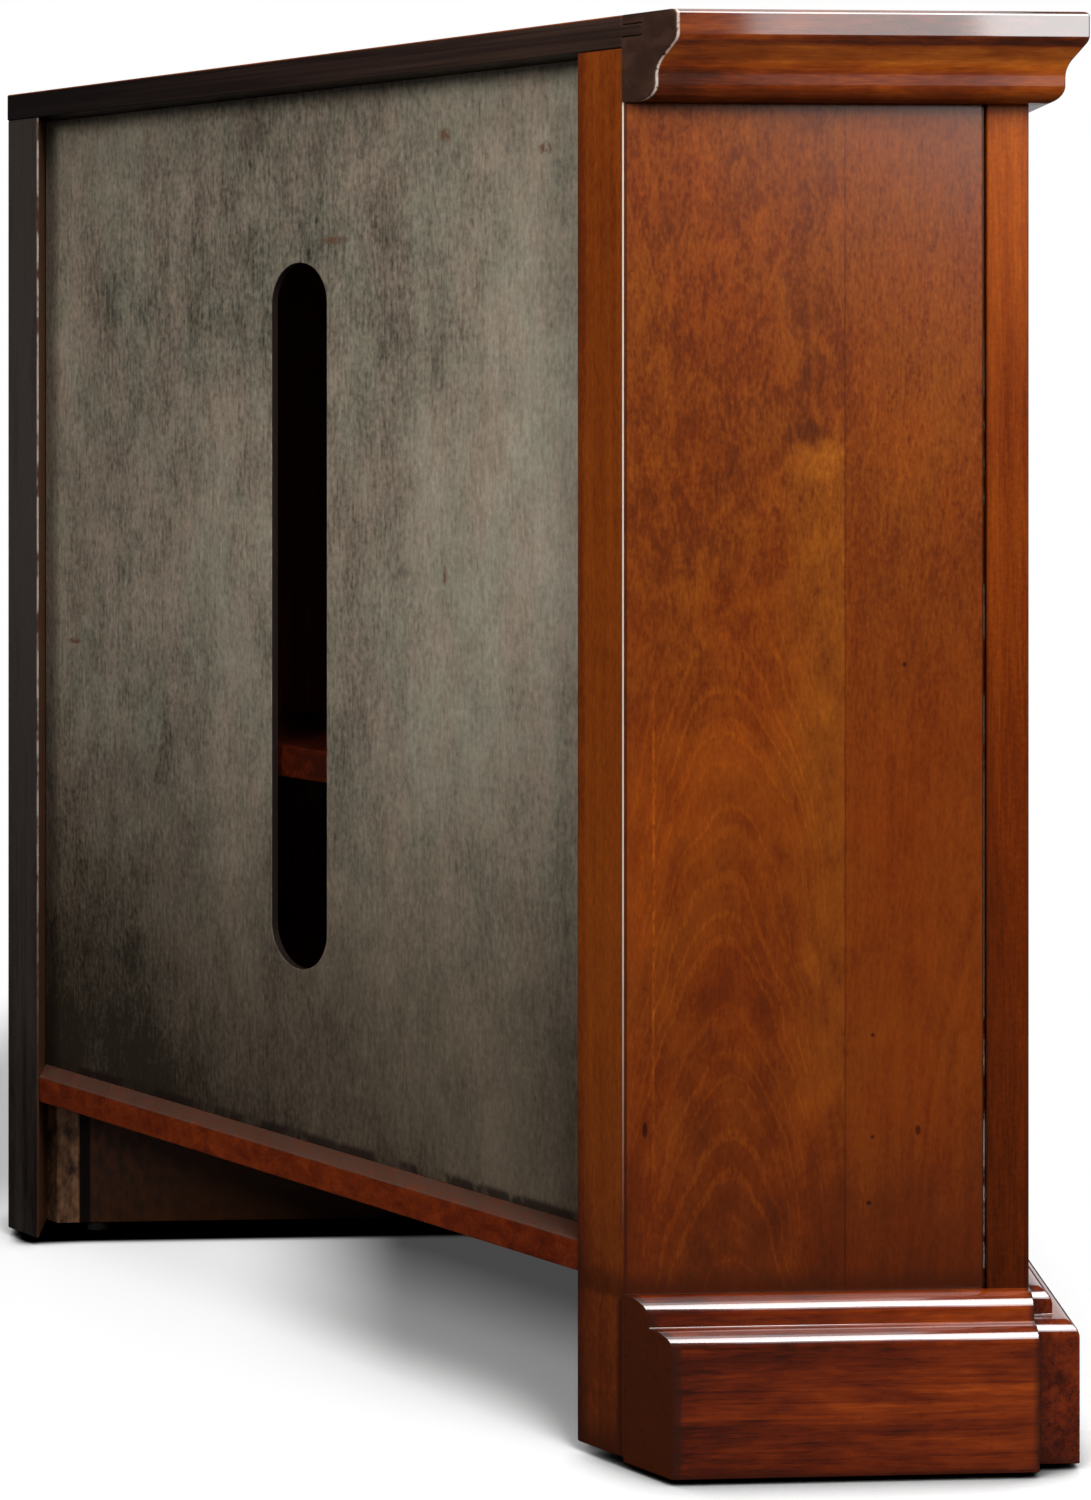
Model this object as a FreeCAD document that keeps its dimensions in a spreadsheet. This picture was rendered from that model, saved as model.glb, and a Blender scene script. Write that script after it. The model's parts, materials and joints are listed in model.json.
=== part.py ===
"""Corner television stand in cherry-stained wood.

The stand faces -Y. Its plan is a wide front, two short sides square to it, two backs at 45 degrees
that lie along the walls of a room's corner, and a narrow flat back between them. A crown moulding is
mitred round the top, a stepped base moulding runs round the foot, plywood backs with round-ended cable
slots are let in behind, and two framed glass doors close the side bays. The centre bay is open.

The origin is on the floor, under the middle of the whole. +X is to the right of a person facing the
front, +Y is to the back and +Z is up. All sizes are in millimetres. Pieces of the right-hand half are
drawn, and those of the left-hand half are their mirror images.
"""
import FreeCAD, Part
import math
import os
import Sketcher

Vector = FreeCAD.Vector

SIZES = [
    ("overall_width", 1270, "over the crown"),
    ("overall_depth", 581, "crown's front to the top's rear edge"),
    ("overall_height", 711, "floor to the top"),
    ("side_depth", 201, "front face to the corner where the angled back starts"),
    ("side_thickness", 21, "side panels"),
    ("top_thickness", 16, "top panel"),
    ("top_overhang", 0.5, "top panel past the backs"),
    ("tongue_length", 9, "top panel's tongue into the crown"),
    ("tongue_thickness", 6, "top panel's tongue"),
    ("joint_play", 0.2, "room in a groove, each side"),
    ("crown_projection", 24, "crown out from the side and front faces"),
    ("crown_height", 43, "crown"),
    ("crown_edge_round", 2.5, "crown's upper edge"),
    ("crown_fascia", 12, "crown's upright upper face"),
    ("crown_slope", 38, "degrees from upright of the ogee's middle"),
    ("crown_bend", 6, "radius above the ogee's straight middle"),
    ("crown_cove", 14, "radius below the ogee's straight middle"),
    ("crown_ogee_line", 8.5, "ogee's straight middle"),
    ("crown_under_round", 8, "crown's lower edge"),
    ("base_level", 85, "top of the base moulding above the floor"),
    ("base_foot", 3, "underside of the base moulding above the floor"),
    ("base_thickness", 22, "base moulding"),
    ("base_flat", 2.8, "level top of the base moulding"),
    ("base_upper_round", 8.4, "upper round of the base moulding"),
    ("base_lower_round", 8, "lower round of the base moulding"),
    ("base_fillet", 4.2, "upright step between the two rounds"),
    ("base_return", 13, "front base past the side faces"),
    ("back_stile_thickness", 22, "stiles of the flat back"),
    ("back_stile_width", 45, "stiles of the flat back, on the rear face"),
    ("panel_recess", 20, "plywood backs in from the back planes"),
    ("panel_thickness", 5, "plywood backs"),
    ("panel_groove", 6, "groove in the side panel for the plywood back"),
    ("slot_width", 46, "cable slots"),
    ("slot_length", 398, "cable slots, over the round ends"),
    ("slot_offset", 6, "angled backs' slots past the middle, towards the back"),
    ("partition_thickness", 16, "upright boards between the bays"),
    ("bottom_level", 105, "upper face of the bottom boards"),
    ("bottom_thickness", 16, "bottom boards"),
    ("bottom_setback", 1, "bottom boards' edges in from the back planes"),
    ("glide_height", 5, "glides under the uprights"),
    ("glide_radius", 7, "glides"),
    ("frame_thickness", 21, "face frame"),
    ("frame_stile_width", 45, "outer stiles of the face frame"),
    ("mullion_width", 36, "inner stiles of the face frame"),
    ("sill_level", 112, "upper edge of the frame's bottom rail"),
    ("sill_foot", 45, "lower edge of the frame's bottom rail"),
    ("top_rail_height", 55, "frame's top rail"),
    ("reveal_width", 2, "shadow groove between side panel and front post"),
    ("reveal_depth", 3, "shadow groove between side panel and front post"),
    ("shelf_level", 324, "upper face of the shelves"),
    ("shelf_thickness", 18, "shelves"),
    ("shelf_play", 2, "shelves' room at each side"),
    ("shelf_rear_play", 4, "shelves' room in front of the plywood"),
    ("shelf_setback", 25, "shelves behind the face frame"),
    ("shelf_round", 5, "shelves' front edges"),
    ("pin_radius", 2.5, "shelf pins"),
    ("pin_play", 0.05, "room round a shelf pin"),
    ("pin_reach", 9, "shelf pin out of the wood"),
    ("pin_depth", 7, "shelf pin in the wood"),
    ("pin_inset", 32, "shelf pins in from the shelf's corners"),
    ("door_play", 2, "room round a door"),
    ("hinge_play", 2.4, "room at a door's hinged edge"),
    ("door_thickness", 20, "doors"),
    ("door_stile_width", 50, "stiles and rails of a door"),
    ("rabbet_width", 8, "lip in front of the glass"),
    ("rabbet_front", 8, "thickness of that lip"),
    ("sticking", 5, "bevel round the front of the glass"),
    ("tenon_length", 25, "rails' tenons"),
    ("tenon_thickness", 7, "rails' tenons"),
    ("tenon_shoulder", 12, "rail above and below its tenon"),
    ("glass_thickness", 4, "door glass"),
    ("glass_play", 1, "room round the glass"),
    ("hinge_length", 50, "butt hinges"),
    ("hinge_inset", 70, "hinge's middle from the end of the door"),
    ("hinge_stand", 4, "hinge axis in front of the doors"),
    ("knuckle_radius", 3.5, "hinge barrel"),
    ("hinge_pin_radius", 1.75, "hinge pin"),
    ("hinge_pin_play", 0.05, "room round the hinge pin"),
    ("steeple_length", 6, "pointed tips of the hinge pin"),
    ("leaf_thickness", 1, "hinge leaves"),
    ("leaf_depth", 17, "hinge leaves along the edge of the wood"),
    ("knuckle_play", 0.3, "room between knuckles"),
    ("knob_radius", 15, "door knob"),
    ("knob_length", 24, "door knob out from the door"),
    ("knob_screw_radius", 2, "knob's screw"),
    ("catch_width", 46, "magnetic catch"),
    ("catch_depth", 13, "magnetic catch"),
    ("catch_height", 34, "magnetic catch"),
    ("catch_drop", 16, "catch below the frame's top rail"),
    ("strike_thickness", 0.7, "plate on the door that the catch holds"),
]

doc = FreeCAD.newDocument("CornerTelevisionStand")
sizes = doc.addObject("Spreadsheet::Sheet", "sizes")
for row, (alias, number, meaning) in enumerate(SIZES, start=1):
    sizes.set(f"A{row}", meaning)
    sizes.set(f"B{row}", str(number))
    sizes.setAlias(f"B{row}", alias)
doc.recompute()

# Planes and levels of the carcass. x + y is the same all over each 45 degree plane of the right half.
SIDE = "(sizes.overall_width / 2 - sizes.crown_projection)"
SIDE_INNER = f"({SIDE} - sizes.side_thickness)"
FRONT = "(sizes.crown_projection - sizes.overall_depth / 2)"
FRAME_BACK = f"({FRONT} + sizes.frame_thickness)"
REAR = "(sizes.overall_depth / 2 - sizes.top_overhang)"
STILE_INNER = f"({REAR} - sizes.back_stile_thickness)"
CORNER = f"({FRONT} + sizes.side_depth)"
BACK_SUM = f"({SIDE} + {CORNER})"
BACK_X = f"({BACK_SUM} - {REAR})"
PANEL_SUM = f"({BACK_SUM} - sizes.panel_recess * sqrt(2))"
PANEL_INNER_SUM = f"({PANEL_SUM} - sizes.panel_thickness * sqrt(2))"
GROOVE_OUTER_SUM = f"({PANEL_SUM} + sizes.joint_play * sqrt(2))"
GROOVE_INNER_SUM = f"({PANEL_INNER_SUM} - sizes.joint_play * sqrt(2))"
PARTITION_OUTER = f"({PANEL_SUM} - {STILE_INNER})"
PARTITION_INNER = f"({PARTITION_OUTER} - sizes.partition_thickness)"
TOP = "sizes.overall_height"
TOP_UNDER = "(sizes.overall_height - sizes.top_thickness)"
HEAD = f"({TOP_UNDER} - sizes.top_rail_height)"
UPRIGHT = f"({TOP_UNDER} - sizes.glide_height)"
PANEL_HEIGHT = f"({TOP_UNDER} - sizes.bottom_level)"
SHELF_UNDER = "(sizes.shelf_level - sizes.shelf_thickness)"
PIN_LEVEL = f"({SHELF_UNDER} - sizes.pin_radius)"

# Edges of the right-hand door opening and of the door in it.
OPENING_LEFT = f"({PARTITION_INNER} + sizes.mullion_width)"
OPENING_RIGHT = f"({SIDE} - sizes.frame_stile_width)"
DOOR_LEFT = f"({OPENING_LEFT} + sizes.door_play)"
DOOR_RIGHT = f"({OPENING_RIGHT} - sizes.hinge_play)"
DOOR_FOOT = "(sizes.sill_level + sizes.door_play)"
DOOR_HEAD = f"({HEAD} - sizes.door_play)"
DOOR_HEIGHT = f"({DOOR_HEAD} - {DOOR_FOOT})"
DOOR_BACK = f"({FRONT} + sizes.door_thickness)"
GLASS_FRONT = f"({FRONT} + sizes.rabbet_front)"
STILE_EDGE_LEFT = f"({DOOR_LEFT} + sizes.door_stile_width)"
STILE_EDGE_RIGHT = f"({DOOR_RIGHT} - sizes.door_stile_width)"
RABBET_LEFT = f"({STILE_EDGE_LEFT} - sizes.rabbet_width)"
RABBET_RIGHT = f"({STILE_EDGE_RIGHT} + sizes.rabbet_width)"
HINGE_X = f"({OPENING_RIGHT} - sizes.hinge_play / 2)"
HINGE_Y = f"({FRONT} - sizes.hinge_stand)"
KNOB_X = f"({DOOR_LEFT} + sizes.door_stile_width / 2)"
KNOB_LEVEL = f"(({DOOR_FOOT} + {DOOR_HEAD}) / 2)"

# Sides of the small turned pieces, and the knob's foot, neck, head and bevels as shares of its radius
# and length.
PIN_FACETS = 16
KNOB_FACETS = 24
KNOB_FOOT_RADIUS_SHARE = 0.62
KNOB_FOOT_LENGTH_SHARE = 0.12
KNOB_NECK_SHARE = 0.46
KNOB_NECK_LENGTH_SHARE = 0.56
KNOB_HEAD_SHARE = 0.54
KNOB_BACK_BEVEL = 0.36
KNOB_FRONT_BEVEL = 0.24
KNOB_CROWN_BEVEL = 0.3
KNOB_BORE_SHARE = 0.55
KNOB_SCREW_SHARE = 0.5

# A turn that points a piece's own Z axis to the front.
TO_FRONT = (Vector(1, 0, 0), 90)

parts = {}


def value(expression):
    """The number that an expression over the sheet comes to."""
    return float(sizes.evalExpression(str(expression)))


def bind(thing, path, expression):
    """Tie one property of a document object to the sheet."""
    thing.setExpression(path, str(expression))


def place(thing, x="0", y="0", z="0", turn=None):
    """Put an object at a point of the sheet, turned about an axis by so many degrees."""
    if turn is not None:
        axis, angle = turn
        thing.Placement = FreeCAD.Placement(Vector(), FreeCAD.Rotation(axis, angle))
    bind(thing, "Placement.Base.x", x)
    bind(thing, "Placement.Base.y", y)
    bind(thing, "Placement.Base.z", z)


def node(label, thing):
    """Keep an object as one finished piece of the stand."""
    thing.Label = label
    parts[label] = thing
    return thing


def new_body(name):
    """An empty body."""
    return doc.addObject("PartDesign::Body", name)


def origin_plane(body, role):
    """One of a body's own base planes."""
    return next(item for item in body.Origin.OriginFeatures if item.Role == role)


def arc_between(start, end, radius, sense):
    """The short arc from start to end, turning left where sense is 1 and right where it is -1."""
    chord = end - start
    half = chord.Length / 2
    rise = math.sqrt(max(radius * radius - half * half, 0.0))
    left = Vector(-chord.y, chord.x, 0).normalize()
    centre = start + chord * 0.5 + left * (rise * sense)
    first, last = (start, end) if sense > 0 else (end, start)
    first_angle = math.atan2(first.y - centre.y, first.x - centre.x)
    last_angle = math.atan2(last.y - centre.y, last.x - centre.x)
    circle = Part.Circle(centre, Vector(0, 0, 1), radius)
    return Part.ArcOfCircle(circle, first_angle, last_angle)


def add_loop(sketch, corners):
    """One closed outline whose corners are expressions.

    A corner is (x, y), or (x, y, radius, sense) where an arc leads to it from the corner before.
    """
    base = sketch.GeometryCount
    count = len(corners)
    points = [Vector(value(corner[0]), value(corner[1]), 0) for corner in corners]
    ends = []
    for index in range(count):
        following = (index + 1) % count
        arrival = corners[following]
        start, end = points[index], points[following]
        if len(arrival) == 2:
            sketch.addGeometry(Part.LineSegment(start, end))
            ends.append((1, 2))
        else:
            sketch.addGeometry(arc_between(start, end, value(arrival[2]), arrival[3]))
            ends.append((1, 2) if arrival[3] > 0 else (2, 1))
    for index in range(count):
        following = (index + 1) % count
        leaving, arriving = ends[index][1], ends[following][0]
        joint = Sketcher.Constraint("Coincident", base + index, leaving, base + following, arriving)
        sketch.addConstraint(joint)
    for index, corner in enumerate(corners):
        for kind, expression in zip(("DistanceX", "DistanceY"), corner[:2]):
            tie = Sketcher.Constraint(kind, -1, 1, base + index, ends[index][0], value(expression))
            bind(sketch, f"Constraints[{sketch.addConstraint(tie)}]", expression)
        if len(corner) == 4:
            tie = Sketcher.Constraint("Radius", base + (index - 1) % count, value(corner[2]))
            bind(sketch, f"Constraints[{sketch.addConstraint(tie)}]", corner[2])


def add_circle(sketch, x, y, radius):
    """One circle whose centre and radius are expressions."""
    index = sketch.GeometryCount
    sketch.addGeometry(Part.Circle(Vector(value(x), value(y), 0), Vector(0, 0, 1), value(radius)))
    for kind, expression in (("DistanceX", x), ("DistanceY", y)):
        tie = Sketcher.Constraint(kind, -1, 1, index, 3, value(expression))
        bind(sketch, f"Constraints[{sketch.addConstraint(tie)}]", expression)
    tie = Sketcher.Constraint("Radius", index, value(radius))
    bind(sketch, f"Constraints[{sketch.addConstraint(tie)}]", radius)


def new_sketch(body, name, role, lift="0"):
    """An empty sketch on one of a body's base planes, lifted along the plane's normal."""
    sketch = body.newObject("Sketcher::SketchObject", name)
    sketch.AttachmentSupport = [(origin_plane(body, role), "")]
    sketch.MapMode = "FlatFace"
    bind(sketch, "AttachmentOffset.Base.z", lift)
    return sketch


def add_pad(body, name, role, loops, length, lift="0", symmetric=False):
    """A straight run of a section drawn on one of the body's base planes."""
    sketch = new_sketch(body, f"{name}_outline", role, lift)
    for corners in loops:
        add_loop(sketch, corners)
    pad = body.newObject("PartDesign::Pad", f"{name}_run")
    pad.Profile = sketch
    pad.SideType = "Symmetric" if symmetric else "One side"
    bind(pad, "Length", length)
    return pad


def prism(name, role, loops, length, x="0", y="0", z="0", turn=None, symmetric=False):
    """A body that is one straight run of a section."""
    body = new_body(name)
    place(body, x, y, z, turn)
    add_pad(body, name, role, loops, length, symmetric=symmetric)
    return body


def add_holes(body, name, role, lift, circles, depth, forward):
    """Round holes from a plane into the wood, along the plane's normal where forward is true."""
    doc.recompute()
    before = body.Shape.Volume
    sketch = new_sketch(body, f"{name}_circles", role, lift)
    for x, y, radius in circles:
        add_circle(sketch, x, y, radius)
    pocket = body.newObject("PartDesign::Pocket", f"{name}_holes")
    pocket.Profile = sketch
    pocket.Reversed = forward
    bind(pocket, "Length", depth)
    doc.recompute()
    if body.Shape.Volume > before - 1.0:
        raise ValueError(f"{name}: the holes miss the wood")


def revolved(name, corners, x, y, z, turn=None):
    """A turned piece: an outline of (radius, height along the axis) spun about the body's Y axis."""
    body = new_body(name)
    place(body, x, y, z, turn)
    sketch = new_sketch(body, f"{name}_outline", "XY_Plane")
    add_loop(sketch, corners)
    spin = body.newObject("PartDesign::Revolution", f"{name}_turning")
    spin.Profile = sketch
    spin.ReferenceAxis = (sketch, ["V_Axis"])
    spin.Angle = 360
    return body


def rod(name, radius, length, x, y, z, turn=None):
    """A small turned rod with flat sides: the middle of its end, and its length along its own Z axis."""
    prism_shape = doc.addObject("Part::Prism", name)
    prism_shape.Polygon = PIN_FACETS
    bind(prism_shape, "Circumradius", radius)
    bind(prism_shape, "Height", length)
    place(prism_shape, x, y, z, turn)
    return prism_shape


def board(name, x, y, z, length, width, height):
    """A square-edged board: its lowest corner, and its size along X, Y and Z."""
    box = doc.addObject("Part::Box", name)
    bind(box, "Length", length)
    bind(box, "Width", width)
    bind(box, "Height", height)
    place(box, x, y, z)
    return box


def dress_edges(body, name, chosen, radius=None, bevel=None):
    """Rounds or bevels along the edges of a body that a test picks."""
    doc.recompute()
    tip = body.Tip
    names = [f"Edge{index}" for index, edge in enumerate(tip.Shape.Edges, start=1) if chosen(edge)]
    if not names:
        raise ValueError(f"{name}: no edge to dress")
    kind = "PartDesign::Fillet" if bevel is None else "PartDesign::Chamfer"
    dressing = body.newObject(kind, name)
    dressing.Base = (tip, names)
    if bevel is None:
        bind(dressing, "Radius", radius)
    else:
        bind(dressing, "Size", bevel)


def cut_away(name, thing, tool):
    """One solid less another."""
    rest = doc.addObject("Part::Cut", name)
    rest.Base = thing
    rest.Tool = tool
    return rest


def common(name, *shapes):
    """What several solids share."""
    shared = doc.addObject("Part::MultiCommon", name)
    shared.Shapes = list(shapes)
    return shared


def group(name, things):
    """Separate solids that make one piece of furniture hardware."""
    bundle = doc.addObject("Part::Compound", name)
    bundle.Links = things
    return bundle


def mirror(name, thing):
    """The left-hand counterpart of a right-hand piece."""
    reflection = doc.addObject("Part::Mirroring", name)
    reflection.Source = thing
    reflection.Normal = Vector(1, 0, 0)
    return reflection


def pair(label, thing):
    """Keep a right-hand piece and its left-hand counterpart."""
    node(f"{label}_right", thing)
    node(f"{label}_left", mirror(f"{label}_left", thing))


def rectangle(left, low, right, high):
    """The corners of an upright rectangle."""
    return [(left, low), (right, low), (right, high), (left, high)]


def both_halves(right_half):
    """A closed outline from the corners of its right-hand half, listed from front to back."""
    left_half = [(f"-({x})", y) for x, y in reversed(right_half)]
    return right_half + left_half


def slot_loop(middle, level):
    """A cable slot with round ends, each end drawn as two quarter circles."""
    half = "(sizes.slot_width / 2)"
    reach = f"(sizes.slot_length / 2 - {half})"
    return [
        (f"{middle} + {half}", f"{level} - {reach}", half, 1),
        (f"{middle} + {half}", f"{level} + {reach}"),
        (f"{middle}", f"{level} + {reach} + {half}", half, 1),
        (f"{middle} - {half}", f"{level} + {reach}", half, 1),
        (f"{middle} - {half}", f"{level} - {reach}"),
        (f"{middle}", f"{level} - {reach} - {half}", half, 1),
    ]


def crown_section():
    """The crown's section, out from the face that it is fixed to and down from its top.

    A rounded upper edge, an upright fascia, an ogee and a round under it; behind, the groove for the
    tongue of the top panel.
    """
    out = "sizes.crown_projection"
    edge = "sizes.crown_edge_round"
    bend = "sizes.crown_bend"
    cove = "sizes.crown_cove"
    slope = "sizes.crown_slope"
    line = "sizes.crown_ogee_line"
    under = "sizes.crown_under_round"
    foot = "-sizes.crown_height"
    bend_x = f"{out} - {bend} * (1 - cos({slope}))"
    bend_z = f"-sizes.crown_fascia - {bend} * sin({slope})"
    line_x = f"{bend_x} - {line} * sin({slope})"
    line_z = f"{bend_z} - {line} * cos({slope})"
    cove_x = f"{line_x} - {cove} * (1 - cos({slope}))"
    cove_z = f"{line_z} - {cove} * sin({slope})"
    groove_depth = "sizes.tongue_length + sizes.joint_play"
    groove_high = "-(sizes.top_thickness - sizes.tongue_thickness) / 2 + sizes.joint_play"
    groove_low = "-(sizes.top_thickness + sizes.tongue_thickness) / 2 - sizes.joint_play"
    return [
        ("0", "0"),
        ("0", groove_high),
        (groove_depth, groove_high),
        (groove_depth, groove_low),
        ("0", groove_low),
        ("0", foot),
        (f"{cove_x} - {under}", foot),
        (cove_x, f"{foot} + {under}", under, 1),
        (cove_x, cove_z),
        (line_x, line_z, cove, -1),
        (bend_x, bend_z),
        (out, "-sizes.crown_fascia", bend, 1),
        (out, f"-{edge}"),
        (f"{out} - {edge}", "0", edge, 1),
    ]


def base_section(back):
    """The base moulding's section, out from the face that it is fixed to: two rounds with a step."""
    top = "sizes.base_level"
    upper = "sizes.base_upper_round"
    lower = "sizes.base_lower_round"
    out = "sizes.base_thickness"
    shoulder = f"{top} - {upper} - sizes.base_fillet"
    return [
        (back, "sizes.base_foot"),
        (out, "sizes.base_foot"),
        (out, f"{shoulder} - {lower}"),
        (f"{out} - {lower}", shoulder, lower, 1),
        (f"sizes.base_flat + {upper}", shoulder),
        (f"sizes.base_flat + {upper}", f"{top} - {upper}"),
        ("sizes.base_flat", top, upper, 1),
        (back, top),
    ]


FORWARD_TURN = (Vector(0, 0, 1), -90)


def build_top():
    """Top panel with its tongue, and the crown that the tongue sits in."""
    over = "sizes.top_overhang"
    rear_sum = f"({BACK_SUM} + {over} * sqrt(2))"
    rear_y = f"({REAR} + {over})"
    top = new_body("top_panel")
    place(top, z=TOP_UNDER)
    main = [(SIDE, FRONT), (SIDE, f"{rear_sum} - {SIDE}"), (f"{rear_sum} - {rear_y}", rear_y)]
    add_pad(top, "top_board", "XY_Plane", [both_halves(main)], "sizes.top_thickness")
    reach = f"({SIDE} + sizes.tongue_length)"
    tongue = [
        (reach, f"{FRONT} - sizes.tongue_length"),
        (reach, f"{rear_sum} - {reach}"),
        (f"{rear_sum} - {rear_y}", rear_y),
    ]
    lift = "(sizes.top_thickness - sizes.tongue_thickness) / 2"
    add_pad(top, "top_tongue", "XY_Plane", [both_halves(tongue)], "sizes.tongue_thickness", lift)
    node("top_panel", top)

    out = f"({SIDE} + sizes.crown_projection)"
    nose = f"({FRONT} - sizes.crown_projection)"
    crown_foot = f"{TOP} - sizes.crown_height"
    length = "sizes.overall_width * 1.5"
    section = [crown_section()]
    run = prism("crown_side_run", "XZ_Plane", section, length, x=SIDE, z=TOP, symmetric=True)
    plan = [(SIDE, FRONT), (out, nose), (out, f"{rear_sum} - {out}"), (SIDE, f"{rear_sum} - {SIDE}")]
    cut = prism("crown_side_plan", "XY_Plane", [plan], "sizes.crown_height", z=crown_foot)
    pair("crown", common("crown_right", run, cut))
    run = prism(
        "crown_front_run", "XZ_Plane", section, length, y=FRONT, z=TOP, turn=FORWARD_TURN, symmetric=True
    )
    plan = both_halves([(out, nose), (SIDE, FRONT)])
    cut = prism("crown_front_plan", "XY_Plane", [plan], "sizes.crown_height", z=crown_foot)
    node("crown_front", common("crown_front", run, cut))


def build_base():
    """Base mouldings: the side ones cut along the angled back, the front one returned at both ends."""
    length = "sizes.overall_width * 1.5"
    out = f"({SIDE} + sizes.base_thickness)"
    run = prism("base_side_run", "XZ_Plane", [base_section("0")], length, x=SIDE, symmetric=True)
    plan = [(SIDE, FRONT), (out, FRONT), (out, f"{BACK_SUM} - {out}"), (SIDE, CORNER)]
    cut = prism("base_side_plan", "XY_Plane", [plan], "sizes.base_level")
    pair("base", common("base_right", run, cut))
    front = prism(
        "base_front_run", "XZ_Plane", [base_section("0")], length, y=FRONT, turn=FORWARD_TURN, symmetric=True
    )
    end_x = f"{SIDE} + sizes.base_return - sizes.base_thickness"
    section = [base_section("-sizes.overall_width")]
    end = prism("base_end", "XZ_Plane", section, length, x=end_x, symmetric=True)
    node("base_front", common("base_front", front, end, mirror("base_end_left", end)))


def shelf_pin_places():
    """Where the right bay's and the centre bay's shelf pins stand: face, side that they point to, y."""
    front = f"({FRAME_BACK} + sizes.shelf_setback + sizes.pin_inset)"
    rear_sum = f"({PANEL_INNER_SUM} - sizes.shelf_rear_play * sqrt(2))"
    side_rear = f"({rear_sum} - {SIDE_INNER} - sizes.pin_inset)"
    inner_rear = f"({rear_sum} - {PARTITION_OUTER} - 2 * sizes.pin_inset)"
    centre_front = f"({front} + sizes.pin_inset)"
    centre_rear = f"({STILE_INNER} - sizes.panel_thickness - sizes.pin_inset)"
    return {
        "side": [front, side_rear],
        "partition_outer": [front, inner_rear],
        "partition_inner": [centre_front, centre_rear],
    }


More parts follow.
